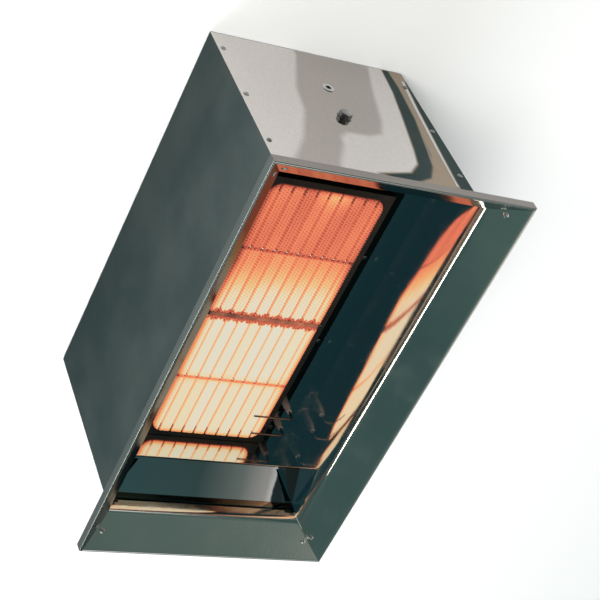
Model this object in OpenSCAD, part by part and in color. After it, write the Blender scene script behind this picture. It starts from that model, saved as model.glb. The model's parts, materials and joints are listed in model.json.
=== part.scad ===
// Gas infrared heater: four ribbed ceramic plaques in a mirror-finished sheet-metal housing
// with a flared rim. It lies on its back cover. Z points out of the opening, X runs along the
// housing from the plain end to the gas end, and the origin is the middle of the back cover.

/* [Housing] */
// Outside length of the housing
housing_l = 490; // [470:1:560]
// Outside width of the housing
housing_w = 250; // [244:1:290]
// Thickness of the housing sheet
sheet_t = 1; // [0.8:0.1:1.3]
// Width of the folds that join the panels
fold_w = 14; // [12:1:18]
// Radius of the folds in the sheet
fold_r = 1.5; // [1:0.1:3]
// Half of the gap at each mitred corner
mitre_gap = 0.15; // [0.1:0.05:0.4]
// Clearance between pieces that are fixed to each other
seat_gap = 0.1; // [0.05:0.05:0.2]

/* [Flare] */
// Distance that the flare spreads past the housing on each side
flare_out = 33; // [26:1:45]
// Height of the flare
flare_h = 37; // [30:1:50]
// Radius of the bend between the wall and the flare
flare_bend_r = 12; // [6:1:16]
// Depth of the lip that is folded back along the rim
lip_d = 12; // [8:1:16]
// Inside radius of the hem at the rim
hem_r = 0.8; // [0.5:0.1:1.5]
// Radius of the corner gussets behind the flare
gusset_r = 15; // [12:1:17]

/* [Rivets and pivots] */
// Radius of a rivet's shank
rivet_r = 1.6; // [1.2:0.1:2]
// Radius of a rivet's head
rivet_head_r = 3.2; // [2.6:0.1:4]
// Height of a rivet's head
rivet_head_h = 1.1; // [0.8:0.1:1.6]
// Distance of the end rivets from the side of the housing
rivet_inset = 7; // [6:0.5:9]
// Height of the pivot bolts above the back face
pivot_z = 127; // [112:1:140]
// Height of the locking inserts above the back face
lock_z = 72; // [64:1:90]
// Radius of a pivot bolt's shank
bolt_r = 4; // [3:0.5:5]
// Length of a pivot bolt's shank
bolt_l = 20; // [18:1:24]
// Width across the flats of a pivot bolt and its nut
bolt_af = 13; // [11:0.5:17]
// Thickness of a pivot bolt's head
bolt_head_h = 5.3; // [4:0.1:7]
// Thickness of a pivot nut
pivot_nut_h = 6.5; // [5:0.1:9]
// Outer radius of the toothed washers
washer_r = 8.5; // [7.5:0.5:10]
// Thickness of the toothed washers
washer_t = 1; // [0.6:0.1:1.6]
// Radius of the thread in a locking insert
insert_bore_r = 3.4; // [2.5:0.1:4]
// Body radius of a locking insert
insert_r = 5.4; // [4.8:0.1:6]
// Flange radius of a locking insert
insert_flange_r = 7.2; // [6.5:0.1:9]
// Length of a locking insert behind its flange
insert_l = 15; // [12:1:20]
// Width of the stiffening plates behind the pivots
doubler_w = 56; // [44:1:60]
// Thickness of the stiffening plates
doubler_t = 2; // [1.5:0.1:2.5]

/* [Back cover] */
// Thickness of the back cover
cover_t = 1; // [0.8:0.1:1.5]
// Distance of the cover's edge from the outside of the housing
cover_inset = 1; // [0.5:0.1:2]
// Length of an air slot in the cover
slot_l = 46; // [30:1:60]
// Width of an air slot
slot_w = 5; // [3:0.5:7]
// Distance between air slots
slot_pitch = 15; // [11:0.5:18]
// Number of air slots in a row
slot_count = 8; // [4:1:8]
// Length of a cover screw
cover_screw_l = 7; // [5:0.5:9]

/* [Burner] */
// Distance from the outside of the plain end to the plaques
plain_margin = 64; // [60:1:72]
// Distance from the outside of the gas end to the plaques
gas_margin = 48; // [47:1:56]
// Distance from the outside of each side to the plaques
side_margin = 49; // [48:1:56]
// Thickness of a plaque under its ribs
plaque_base_t = 10; // [8:0.5:12]
// Height of the ribs
rib_h = 3; // [2:0.5:4]
// Number of ribs on a plaque
rib_count = 10; // [8:1:12]
// Width of the groove between ribs
groove_w = 2.2; // [1.5:0.1:3.5]
// Gap between the two plaques of a pair
seam_w = 1.5; // [1:0.1:3]
// Width of the seam in the middle of the burner
centre_seam_w = 7; // [6:0.5:9]
// Depth of the plaque faces below the root of the flare
face_depth = 82; // [78:1:88]
// Thickness of the fibre gasket round the plaques
gasket_t = 1.5; // [1:0.1:2]
// Sheet thickness of the plenum
plenum_t = 1.2; // [1:0.1:1.5]
// Free height between the solenoid coil's nut and the plenum
coil_headroom = 12.3; // [6:0.1:16]
// Height from the plenum's floor to the ledge under the plaques
plenum_depth = 51.5; // [48:0.5:56]
// Width of the flange that carries the plenum
plenum_flange_w = 14; // [12:0.5:14]
// Width of the ledge under the plaques
ledge_w = 8; // [6:0.5:10]
// Width of the bar under the middle seam
bar_w = 14; // [12:0.5:18]
// Height of the bar under the middle seam
bar_h = 12; // [9:0.5:14]
// Overlap of the retaining frame on the plaques
frame_lip = 4; // [3.5:0.5:5]
// Sheet thickness of the retaining frame
frame_t = 1; // [0.8:0.1:1.4]
// Height of the retaining frame
frame_h = 22; // [20:1:28]
// Corner radius of the retaining frame's opening
frame_corner_r = 14; // [8:1:20]
// Height of the baffle above the plenum's floor
baffle_h = 22; // [16:1:28]
// Radius of the holes in the baffle
baffle_hole_r = 4; // [2.5:0.5:5]

/* [Tray] */
// Height of the tray's upper face above the plenum's floor
tray_rise = 18; // [16:1:22]
// Width of both legs of the tray rails
rail_w = 14; // [13:0.5:15]
// Thickness of the tray rails
rail_t = 1.5; // [1:0.1:2]
// Distance from the outside of each end to the tray rails
rail_end_gap = 25; // [20:1:40]

/* [End reflector] */
// Height of the upright mirror above the plaque faces
mirror_h = 35; // [25:1:45]
// Depth of the ledge's outer edge below the root of the flare
ledge_depth = 26; // [22:1:34]
// Height of the fold that stands against the end panel
ledge_fold_h = 9; // [6:0.5:10]
// Width of the relief slots at the ends of the ledge
relief_w = 11; // [7:0.5:13]

/* [Mixing tube] */
// Distance of the gas train from the outside of the left side
gas_inset = 75; // [73:0.5:77]
// Height of the mixing tube's axis above the back face
gas_z = 44; // [43:0.5:47]
// Outer radius of the mixing tube
tube_r = 20; // [17:0.5:21]
// Wall of the mixing tube
tube_t = 1.5; // [1:0.1:2]
// Bore radius of the mixing tube's throat
throat_r = 14; // [11:0.5:16]
// Outer radius of the bell mouth
bell_r = 29; // [27:0.5:31]
// Length of the bell mouth's curve
bell_l = 22; // [16:1:28]
// Length from the bell mouth to the elbow
tube_l = 150; // [140:1:160]
// Centre-line radius of the elbow
elbow_r = 38; // [34:1:42]
// Width of the flange past the tube at the elbow's end
tube_flange_w = 8; // [7.5:0.5:9]
// Thickness of the flange at the elbow's end
tube_flange_t = 2.5; // [2:0.1:3.5]

/* [Gas valve] */
// Distance of the valve from the outside of the gas end
valve_inset = 29; // [28:1:34]
// Length of the valve body
valve_l = 52; // [46:1:60]
// Width of the valve body
valve_w = 38; // [34:1:42]
// Depth of the valve body below the outlet's axis
valve_below = 14; // [12:0.5:16]
// Radius of the gas ways through the valve
port_r = 4; // [3:0.5:4.5]
// Radius of the valve chamber
chamber_r = 10; // [9:0.5:11]
// Width of the rim that the seal closes on
seat_rim_w = 1.5; // [1:0.1:2]
// Height of the rim that the seal closes on
seat_rim_h = 2; // [1.5:0.1:3]
// Thickness of the seal on the plunger
seal_t = 2.5; // [2:0.1:3]
// Stroke of the plunger
valve_stroke = 2; // [1:0.5:2.5]
// Length of the plunger
plunger_l = 30; // [26:1:32]
// Radius of the plunger
plunger_r = 7.6; // [7:0.1:8]
// Running clearance round the plunger and at its ends
plunger_gap = 0.35; // [0.3:0.05:0.5]
// Wall of the armature tube
armature_t = 1.5; // [1:0.1:2]
// Height of the solenoid coil
coil_h = 26; // [24:1:28]
// Width of the solenoid coil
coil_w = 32; // [28:1:36]
// Distance of the valve's inlet above its outlet
inlet_rise = 10; // [9:0.5:11]
// Outer radius of the gas inlet's thread
inlet_r = 10.4; // [9:0.1:12]
// Length of the gas inlet outside the housing
inlet_l = 20; // [16:1:26]
// Bore radius of the gas inlet
inlet_bore_r = 6.5; // [5:0.1:7]
// Step in radius between the free thread and the shank under the locknut
inlet_step = 1.1; // [0.8:0.1:1.4]
// Width across the flats of the gas inlet's locknut
inlet_af = 32; // [30:1:36]
// Length of the gas pipe between valve and injector
pipe_l = 16; // [12:1:20]
// Outer radius of the gas pipe
pipe_r = 5; // [4.5:0.5:6]
// Distance of the injector's shoulder from the bell mouth
injector_gap = 22; // [18:1:28]
// Radius of the injector's jet
jet_r = 0.9; // [0.6:0.1:1.4]

/* [Ignition and control] */
// Length of the control box
box_l = 100; // [80:1:110]
// Width of the control box
box_w = 66; // [56:1:70]
// Height of the control box without its lid
box_h = 28; // [22:1:32]
// Height of the control box lid
box_lid_h = 8; // [6:0.5:10]
// Wall of the control box
box_t = 2.5; // [2:0.1:3]
// Height of the feet under the control box
box_foot_h = 4; // [3:0.5:6]
// Radius of the electrode insulators
insulator_r = 4.6; // [4:0.1:5]
// Length of the electrode insulators
insulator_l = 62; // [56:1:66]
// Radius of the electrode rods
rod_r = 1.1; // [0.9:0.1:1.4]
// Height of the electrode tips above the plaque faces
rod_rise = 5; // [4:0.5:8]
// Reach of the electrode tips over the plaques
rod_reach = 16; // [10:1:24]
// Distance between the two electrodes
electrode_pitch = 28; // [24:1:32]
// Distance of the electrodes from the gas end of the burner
electrode_inset = 32; // [30:1:60]
// Radius of an ignition lead
lead_r = 2.4; // [2:0.1:3]
// Radius of the cable gland's thread
gland_r = 10; // [8:0.5:11]
// Bore radius of the cable gland
gland_bore_r = 4.5; // [3:0.5:6]
// Length of the cable gland outside the housing
gland_l = 24; // [20:1:28]

/* [Hidden] */
$fn = 48;

// Cuts run past the faces that they open by this much
overrun = 2;
// Straight pieces in each bend of a sheet
bend_steps = 8;

// Heights that stack up from the gas valve to the root of the flare
valve_wall = 1;
armature_flange_h = 3;
coil_nut_h = 4;
inlet_z = gas_z + inlet_rise;
valve_top_z = inlet_z + port_r + 2 * valve_wall + seal_t;
coil_z = valve_top_z + armature_flange_h;
armature_top_z = coil_z + coil_h + 2 * seat_gap + coil_nut_h;
plenum_z = armature_top_z + coil_headroom;
tray_z = plenum_z + tray_rise;
housing_d = plenum_z + plenum_depth + gasket_t + plaque_base_t + rib_h + face_depth;

// Places that follow from the housing
wall_x = housing_l / 2;
wall_y = housing_w / 2;
root_z = housing_d;
rim_z = root_z + flare_h;
flare_run = flare_out - sheet_t;
flare_angle = atan2(flare_h, flare_run);
flare_len = norm([flare_run, flare_h]);
inner_x = wall_x - sheet_t;
inner_y = wall_y - sheet_t;
strip_x = inner_x - seat_gap - sheet_t;
flange_top_z = cover_t + sheet_t;
rivet_height_shares = [0.13, 0.47, 0.79];
gusset_height_share = 0.5;
gusset_end_shares = [0.2, 0.86];
corner_rivet_inset = 8.5;

// Pivots and inserts
doubler_edge = 13;
insert_flange_t = 1;
washer_teeth = 12;
washer_valley_share = 0.84;

// Small screws, all of one size
screw_r = 1.75;
screw_head_r = 3.5;
screw_head_h = 2.4;
screw_slot_w = 0.9;
screw_slot_d = 1.1;
screw_l = 8;
sink_r = 3.5;

// Burner
face_z = root_z - face_depth;
base_top_z = face_z - rib_h;
base_z = base_top_z - plaque_base_t;
ledge_z = base_z - gasket_t;
burner_x = (plain_margin - gas_margin) / 2;
field_l = housing_l - plain_margin - gas_margin;
plaque_l = (field_l - 2 * seam_w - centre_seam_w) / 4;
plaque_w = housing_w - 2 * side_margin;
plenum_in_l = field_l + 2 * gasket_t;
plenum_in_w = plaque_w + 2 * gasket_t;
plenum_out_l = plenum_in_l + 2 * plenum_t;
plenum_out_w = plenum_in_w + 2 * plenum_t;
frame_in_l = plenum_out_l + 2 * seat_gap;
frame_in_w = plenum_out_w + 2 * seat_gap;
frame_out_l = frame_in_l + 2 * frame_t;
frame_out_w = frame_in_w + 2 * frame_t;
frame_top_z = base_top_z + seat_gap + frame_t;
window_l = field_l - 2 * frame_lip;
window_w = plaque_w - 2 * frame_lip;
rib_pitch = plaque_w / rib_count;
rib_shoulder_share = 0.25;
seam_crown = 0.8;
bar_t = 1.5;
bar_screw_y = (plaque_w - frame_lip) / 2;
bar_screw_l = 26;
frame_screw_drop = 18;
frame_screw_l = 5;
frame_screw_shares = [-0.8, -0.3, 0.3, 0.8];
plenum_screw_shares = [-0.88, -0.3, 0.3, 0.88];
end_screw_share = 0.55;
plenum_screw_l = 6;
baffle_columns = 14;
baffle_rows = 5;
baffle_play = 2;

// Tray
rail_l = housing_l - 2 * rail_end_gap;
tray_end_gap = 3;
tray_side_gap = 0.5;
tray_cut_gap = 1;
notch_play = 2;
rail_screw_shares = [-0.86, -0.3, 0.3, 0.86];
rail_screw_inset = 8;

// End reflector
mirror_gap = 0.6;
mirror_x = burner_x + frame_out_l / 2 + mirror_gap + sheet_t;
mirror_foot_l = 12;
reflector_half_w = inner_y - tray_side_gap;
ledge_x = strip_x - seat_gap;
ledge_end_z = root_z - ledge_depth;
relief_inner_share = 0.73;
relief_outer_share = 0.91;
relief_taper_share = 0.7;

// Gas train
valve_x1 = wall_x - valve_inset;
valve_x0 = valve_x1 - valve_l;
valve_x = (valve_x0 + valve_x1) / 2;
seat_bore_r = port_r - valve_wall;
chamber_z = gas_z + port_r + valve_wall;
seat_z = chamber_z + seat_rim_h;
seal_z = seat_z + plunger_gap;
seal_r = port_r + seat_rim_w + valve_wall;
plunger_z = seal_z + seal_t;
core_z = plunger_z + plunger_l + valve_stroke + plunger_gap;
armature_flange_r = 13;
armature_bore_r = plunger_r + plunger_gap;
armature_r = armature_bore_r + armature_t;
coil_nut_r = 13;
plug_l = 18;
plug_w = 15;
plug_h = 17;
pocket_r = 4;
pocket_d = 10;
spring_r = 2.9;
spring_wire_r = 0.45;
spring_turns = 6;
spring_steps = 14;
spring_sides = 6;
pipe_bore_r = 3.5;
injector_x = valve_x0 - pipe_l;
injector_af = 15;
injector_hex_l = 10;
jet_l = 9;
jet_tip_r = 2.6;
bell_x = injector_x - injector_hex_l - injector_gap;
bell_collar_l = 3;
cage_t = 2;
cage_arm_w = 9;
throat_l = 16;
diffuser_l = 70;
gas_y = gas_inset - wall_y;
tube_flange_r = tube_r + tube_flange_w;
tube_screw_pitch_r = tube_r + tube_flange_w / 2;
elbow_x = bell_x - tube_l;
tube_x = elbow_x - elbow_r;
tube_gasket_t = 1;
tube_top_z = plenum_z - tube_gasket_t;
plate_t = 1.5;
plate_z = flange_top_z + plate_t;
plate_l = 140;
plate_inset = 13;
plate_edge_gap = 9.5;
bracket_w = 34;
bracket_l = 44;
bracket_t = 2;
union_shoulder_r = 14;
union_shoulder_l = 5;
union_neck_r = 9;
locknut_h = 6;
inlet_shank_r = inlet_r + inlet_step;
thread_relief = 0.5;
cover_screw_edge = 5.5;
cover_screw_shares = [-0.85, -0.3, 0.3, 0.85];
cover_end_screw_share = 0.5;
slot_side_inset = 65;
slot_row_y = wall_y - slot_side_inset;
slot_row_x = -60;

// Control box, electrodes and leads
box_inset = 95;
box_x = wall_x - box_inset;
box_side_inset = 63;
box_y = wall_y - box_side_inset;
box_z = plate_z + box_foot_h;
box_top_z = box_z + box_h + box_lid_h;
foot_r = 5;
terminal_r = 5;
terminal_h = 7;
terminal_pitch = 30;
terminal_side_inset = 51;
terminal_y = wall_y - terminal_side_inset;
terminal_z = box_top_z + terminal_h;
electrode_x = burner_x + field_l / 2 - electrode_inset;
electrode_gap = 8.5;
electrode_y = plenum_out_w / 2 + plenum_flange_w + electrode_gap;
bracket_foot_w = 15;
electrode_bracket_t = 1.5;
electrode_bracket_l = 56;
electrode_bracket_h = 24;
collar_r = 6.4;
collar_h = 4;
insulator_above = 38;
insulator_tip_r = 3;
rod_below = 5;
rod_bend_r = 5;
lead_steps = 14;
lead_sides = 8;
gland_side_inset = 65;
gland_y = wall_y - gland_side_inset;
gland_z = 44;
gland_af = 24;
gland_hex_l = 8;

// Unit vector along v
function unit(v) = v / norm(v);

// Direction v turned by an angle
function spun(v, angle) = [v.x * cos(angle) - v.y * sin(angle), v.x * sin(angle) + v.y * cos(angle)];

// Signed angle from direction a to direction b
function turn_angle(a, b) = atan2(a.x * b.y - a.y * b.x, a * b);

// Arc of radius r that rounds the corner p between directions a and b
function corner_arc(p, a, b, r) =
  let (
    angle = turn_angle(a, b),
    start = p - a * r * tan(abs(angle) / 2),
    middle = start + sign(angle) * r * [-a.y, a.x]
  )
  [for (i = [0:bend_steps]) middle + spun(start - middle, angle * i / bend_steps)];

// Path through pts with a rounded corner of radii[i] at each inner point
function folded_path(pts, radii) = concat(
  [pts[0]],
  [
    for (i = [1:len(pts) - 2])
      each corner_arc(pts[i], unit(pts[i] - pts[i - 1]), unit(pts[i + 1] - pts[i]), radii[i - 1])
  ],
  [pts[len(pts) - 1]]
);

// Direction to the left of the path's piece i
function left_of(path, i) =
  let (d = unit(path[i + 1] - path[i]))
  [-d.y, d.x];

// Point i of the path moved a distance t to the left
function moved_point(path, i, t) =
  let (
    last = len(path) - 2,
    before = left_of(path, max(i - 1, 0)),
    after = left_of(path, min(i, last)),
    middle = unit(before + after)
  )
  path[i] + middle * t / (middle * before);

// Outline of a sheet of thickness t that follows the path on its left side
function sheet_outline(path, t) =
  concat(path, [for (i = [len(path) - 1:-1:0]) moved_point(path, i, t)]);

// Outer path of a wall: back fold, wall, flare and the lip behind the rim
function wall_path(half) = folded_path(
  [
    [half - fold_w, cover_t],
    [half, cover_t],
    [half, root_z],
    [half + flare_run, rim_z],
    [half + flare_run, rim_z - lip_d]
  ],
  [fold_r + sheet_t, flare_bend_r, hem_r]
);

// Path of the flat gusset behind a flare, gusset sheet included
function gusset_path(half) =
  let (
    along = [cos(flare_angle), sin(flare_angle)],
    behind = [along.y, -along.x] * (seat_gap + sheet_t),
    foot = [half, root_z] + behind
  )
  [for (share = gusset_end_shares) foot + along * flare_len * share];

// Point on the flare of a wall, a share of the way up, on its outer face
function flare_point(half, share) = [half + flare_run * share, root_z + flare_h * share];

module both_sides() {
  children();
  mirror([0, 1, 0]) children();
}

module both_ends() {
  children();
  mirror([1, 0, 0]) children();
}

// Turns a profile drawn as distance from the middle and height into a side wall along X
module along_x(length) {
  rotate([90, 0, 90]) linear_extrude(length, center = true) children();
}

// Turns the same kind of profile into an end wall along Y
module along_y(length) {
  rotate([90, 0, 0]) linear_extrude(length, center = true) children();
}

module rounded_rect(l, w, r) {
  square([l - 2 * r, w], center = true);
  square([l, w - 2 * r], center = true);
  for (x = [-1, 1], y = [-1, 1]) translate([x * (l / 2 - r), y * (w / 2 - r)]) circle(r);
}

module obround(l, w) {
  square([l - w, w], center = true);
  for (x = [-1, 1]) translate([x * (l - w) / 2, 0]) circle(w / 2);
}

// Space of a side wall between its two mitred corners
module side_wedge(gap) {
  reach = flare_out + overrun;
  inset = wall_x - wall_y;
  translate([0, 0, -overrun]) linear_extrude(rim_z + 2 * overrun)
    polygon([
      [-inset + gap, 0],
      [inset - gap, 0],
      [wall_x + reach - gap, wall_y + reach],
      [-wall_x - reach + gap, wall_y + reach]
    ]);
}

// Space of an end wall between its two mitred corners
module end_wedge(gap) {
  reach = flare_out + overrun;
  inset = wall_x - wall_y;
  translate([0, 0, -overrun]) linear_extrude(rim_z + 2 * overrun)
    polygon([
      [inset + gap, 0],
      [wall_x + reach + gap, wall_y + reach],
      [wall_x + reach + gap, -wall_y - reach]
    ]);
}

// Screw with a round head, its head resting on z = 0 and its shank going down
module pan_screw(length) {
  difference() {
    rotate_extrude() polygon([
      [0, 0],
      [screw_head_r, 0],
      [screw_head_r, screw_head_h * 0.45],
      [screw_head_r * 0.86, screw_head_h * 0.8],
      [screw_head_r * 0.55, screw_head_h],
      [0, screw_head_h]
    ]);
    for (angle = [0, 90])
      rotate(angle) translate([-screw_head_r * 0.6, -screw_slot_w / 2, screw_head_h - screw_slot_d])
        cube([screw_head_r * 1.2, screw_slot_w, screw_slot_d + overrun]);
  }
  translate([0, 0, -length]) cylinder(r = screw_r, h = length + screw_slot_w / 2);
}

// Hole for a small screw, through everything
module screw_hole() {
  cylinder(r = screw_r + seat_gap, h = 2 * screw_l, center = true);
}

// Blind rivet with its head on z = 0, through two sheets below
module rivet() {
  grip = 2 * sheet_t + 2 * seat_gap;
  difference() {
    rotate_extrude() polygon([
      [0, -grip - rivet_head_h * 1.6],
      [rivet_r * 1.2, -grip - rivet_head_h * 1.6],
      [rivet_r * 1.45, -grip - rivet_head_h * 0.8],
      [rivet_r * 1.3, -grip],
      [rivet_r, -grip],
      [rivet_r, 0],
      [rivet_head_r, 0],
      [rivet_head_r * 0.94, rivet_head_h * 0.5],
      [rivet_head_r * 0.6, rivet_head_h],
      [0, rivet_head_h]
    ]);
    cylinder(r = rivet_r * 0.5, h = rivet_head_h + overrun);
  }
}

// Places of the end rivets, seen along the wall's outward direction
module at_end_rivets() {
  for (y = [-1, 1], share = rivet_height_shares)
    translate([wall_x, y * (wall_y - rivet_inset), share * housing_d]) rotate([0, 90, 0]) children();
}

// Places of the corner rivets on the long flares of one corner
module at_side_rivet() {
  p = flare_point(wall_y, gusset_height_share);
  x = wall_x + flare_run * gusset_height_share - corner_rivet_inset;
  translate([x, p.x, p.y]) rotate([flare_angle, 0, 0]) translate([0, 0, sheet_t]) children();
}

// Places of the corner rivets on the short flares of one corner
module at_end_rivet() {
  p = flare_point(wall_x, gusset_height_share);
  y = wall_y + flare_run * gusset_height_share - corner_rivet_inset;
  translate([p.x, y, p.y]) rotate([0, -flare_angle, 0]) translate([0, 0, sheet_t]) children();
}

module at_corners() {
  both_ends() both_sides() children();
}

module rivet_bore() {
  cylinder(r = rivet_r + seat_gap, h = 4 * rivet_head_r, center = true);
}

// Places of the cover screws on the back folds
module at_cover_screws() {
  for (share = cover_screw_shares)
    both_sides() translate([share * wall_x, wall_y - cover_screw_edge, 0]) children();
  for (share = [-cover_end_screw_share, cover_end_screw_share])
    both_ends() translate([wall_x - cover_screw_edge, share * wall_y, 0]) children();
}

module cover_screw_bore() {
  cylinder(r = screw_r + seat_gap, h = 3 * cover_screw_l, center = true);
}

// One long wall with its flare, lip, back fold and the two folds under the end panels
module side_panel() {
  strip_z = flange_top_z + fold_r + seat_gap;
  strip_h = root_z - flare_bend_r - strip_z;
  difference() {
    union() {
      intersection() {
        along_x(housing_l + 2 * flare_out + 2 * overrun)
          polygon(sheet_outline(wall_path(wall_y), sheet_t));
        side_wedge(mitre_gap);
      }
      both_ends() translate([strip_x, wall_y - fold_w, strip_z])
        cube([sheet_t, fold_w - sheet_t / 2, strip_h]);
    }
    both_ends() at_end_rivets() rivet_bore();
    at_corners() at_side_rivet() rivet_bore();
    at_cover_screws() cover_screw_bore();
  }
}

// One end wall with its flare, lip and back fold, and its holes for pivot and insert
module end_panel() {
  difference() {
    intersection() {
      along_y(housing_w + 2 * flare_out + 2 * overrun)
        polygon(sheet_outline(wall_path(wall_x), sheet_t));
      end_wedge(mitre_gap);
    }
    at_end_rivets() rivet_bore();
    both_sides() at_end_rivet() rivet_bore();
    at_cover_screws() cover_screw_bore();
    translate([wall_x, 0, pivot_z]) rotate([0, 90, 0])
      cylinder(r = bolt_r + seat_gap, h = 4 * sheet_t, center = true);
    translate([wall_x, 0, lock_z]) rotate([0, 90, 0])
      cylinder(r = insert_r + seat_gap, h = 4 * sheet_t, center = true);
  }
}

module left_side_panel() {
  color([0.30, 0.37, 0.36]) mirror([0, 1, 0]) side_panel();
}

module right_side_panel() {
  color([0.30, 0.37, 0.36]) side_panel();
}

module plain_end_panel() {
  color([0.78, 0.76, 0.73]) mirror([1, 0, 0]) end_panel();
}

module gas_end_panel() {
  color([0.70, 0.69, 0.67]) difference() {
    end_panel();
    translate([wall_x, gas_y, inlet_z]) rotate([0, 90, 0])
      cylinder(r = inlet_shank_r + seat_gap, h = 4 * sheet_t, center = true);
    translate([wall_x, gland_y, gland_z]) rotate([0, 90, 0])
      cylinder(r = gland_r + seat_gap, h = 4 * sheet_t, center = true);
  }
}

module end_rivets() {
  color("silver") both_ends() at_end_rivets() rivet();
}

// Bent plate behind each mitred corner of the flare
module corner_gussets() {
  middle = gusset_height_share * flare_run;
  color("gray") at_corners() difference() {
    intersection() {
      union() {
        intersection() {
          along_x(housing_l + 2 * flare_out) polygon(sheet_outline(gusset_path(wall_y), sheet_t));
          side_wedge(-sheet_t);
        }
        intersection() {
          along_y(housing_w + 2 * flare_out) polygon(sheet_outline(gusset_path(wall_x), sheet_t));
          end_wedge(-sheet_t);
        }
      }
      translate([wall_x + middle, wall_y + middle, root_z - flare_h])
        cylinder(r = gusset_r, h = 3 * flare_h);
    }
    at_side_rivet() rivet_bore();
    at_end_rivet() rivet_bore();
  }
}

module corner_rivets() {
  color("silver") at_corners() {
    at_side_rivet() rivet();
    at_end_rivet() rivet();
  }
}

// Plates behind the end panels that carry the pivots and inserts
module pivot_doublers() {
  low = lock_z - insert_r - doubler_edge;
  high = pivot_z + bolt_r + doubler_edge;
  x = inner_x - seat_gap - doubler_t;
  color("silver") both_ends() difference() {
    translate([x, 0, (low + high) / 2]) rotate([90, 0, 90])
      linear_extrude(doubler_t) rounded_rect(doubler_w, high - low, doubler_edge / 2);
    translate([inner_x, 0, pivot_z]) rotate([0, 90, 0])
      cylinder(r = bolt_r + seat_gap, h = 4 * doubler_t, center = true);
    translate([inner_x, 0, lock_z]) rotate([0, 90, 0])
      cylinder(r = insert_r + seat_gap, h = 4 * doubler_t, center = true);
  }
}

module hex(across_flats, h) {
  cylinder(r = across_flats / sqrt(3), h = h, $fn = 6);
}

module pivot_bolts() {
  chamfer = bolt_head_h * 0.16;
  color("silver") both_ends() translate([wall_x + washer_t, 0, pivot_z]) rotate([0, 90, 0]) {
    intersection() {
      hex(bolt_af, bolt_head_h);
      rotate_extrude() polygon([
        [0, 0],
        [bolt_af, 0],
        [bolt_af, bolt_head_h - 4 * chamfer],
        [bolt_af / 2, bolt_head_h],
        [0, bolt_head_h]
      ]);
    }
    translate([0, 0, -bolt_l]) cylinder(r = bolt_r, h = bolt_l + chamfer);
  }
}

// Lock washers with teeth round their edge
module toothed_washers() {
  tooth = 180 / washer_teeth;
  color("silver") both_ends() translate([wall_x, 0, pivot_z]) rotate([0, 90, 0])
    linear_extrude(washer_t) difference() {
      polygon([
        for (i = [0:washer_teeth - 1])
          for (step = [[0, 1], [0.8, 1], [1, washer_valley_share], [1.8, washer_valley_share]])
            washer_r * step[1] * [cos(tooth * (2 * i + step[0])), sin(tooth * (2 * i + step[0]))]
      ]);
      circle(bolt_r + seat_gap);
    }
}

module pivot_nuts() {
  x = inner_x - seat_gap - doubler_t - pivot_nut_h;
  color("silver") both_ends() translate([x, 0, pivot_z]) rotate([0, 90, 0]) difference() {
    hex(bolt_af, pivot_nut_h);
    translate([0, 0, -overrun]) cylinder(r = bolt_r + seat_gap, h = pivot_nut_h + 2 * overrun);
  }
}

// Threaded inserts for the screws that lock a hanging bracket
module locking_inserts() {
  color("silver") both_ends() translate([wall_x, 0, lock_z]) rotate([0, 90, 0])
    rotate_extrude() polygon([
      [insert_bore_r, -insert_l],
      [insert_r, -insert_l],
      [insert_r, 0],
      [insert_flange_r, 0],
      [insert_flange_r, insert_flange_t * 0.6],
      [insert_flange_r * 0.93, insert_flange_t],
      [insert_bore_r, insert_flange_t]
    ]);
}

module back_cover() {
  row = [for (i = [0:slot_count - 1]) (i - (slot_count - 1) / 2) * slot_pitch];
  color([0.6, 0.6, 0.6]) difference() {
    linear_extrude(cover_t) difference() {
      rounded_rect(housing_l - 2 * cover_inset, housing_w - 2 * cover_inset, fold_r);
      for (x = row, y = [-slot_row_y, slot_row_y])
        translate([slot_row_x + x, y]) rotate(90) obround(slot_l, slot_w);
    }
    at_cover_screws() translate([0, 0, -overrun])
      cylinder(r = screw_r + seat_gap, h = cover_t + 2 * overrun);
    at_cover_screws() cylinder(r1 = sink_r + seat_gap, r2 = screw_r + seat_gap, h = cover_t);
  }
}

module cover_screws() {
  color("silver") at_cover_screws() difference() {
    union() {
      cylinder(r1 = sink_r, r2 = screw_r, h = cover_t);
      cylinder(r = screw_r, h = cover_screw_l);
    }
    for (angle = [0, 90])
      rotate(angle) translate([-screw_head_r * 0.55, -screw_slot_w / 2, -overrun])
        cube([screw_head_r * 1.1, screw_slot_w, screw_slot_d / 2 + overrun]);
  }
}

// Places of the screws that hold the tray on its rails
module at_tray_screws() {
  for (share = rail_screw_shares)
    both_sides() translate([share * rail_l / 2, inner_y - rail_screw_inset, tray_z]) children();
}

module tray_rails() {
  high = tray_z - sheet_t;
  out = inner_y - seat_gap;
  color("silver") both_sides() difference() {
    along_x(rail_l) polygon([
      [out, high],
      [out, high - rail_w],
      [out - rail_t, high - rail_w],
      [out - rail_t, high - rail_t],
      [out - rail_w, high - rail_t],
      [out - rail_w, high]
    ]);
    at_tray_screws() screw_hole();
  }
}

// Places of the screws through the plenum's flange, along the sides and at the plain end
module at_plenum_screws() {
  y = plenum_out_w / 2 + plenum_flange_w / 2;
  x = plenum_out_l / 2 + plenum_flange_w / 2;
  for (share = plenum_screw_shares)
    both_sides() translate([burner_x + share * plenum_out_l / 2, y, tray_z + plenum_t]) children();
  both_sides() translate([burner_x - x, end_screw_share * plenum_out_w / 2, tray_z + plenum_t])
    children();
}

// Places of the screws that pass through the reflector's foot as well
module at_foot_screws() {
  x = burner_x + plenum_out_l / 2 + plenum_flange_w - screw_head_r;
  both_sides() translate([x, end_screw_share * plenum_out_w / 2, tray_z + plenum_t + sheet_t])
    children();
}

module at_electrodes() {
  for (side = [-1, 1]) translate([electrode_x + side * electrode_pitch / 2, electrode_y, 0]) children();
}

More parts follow.
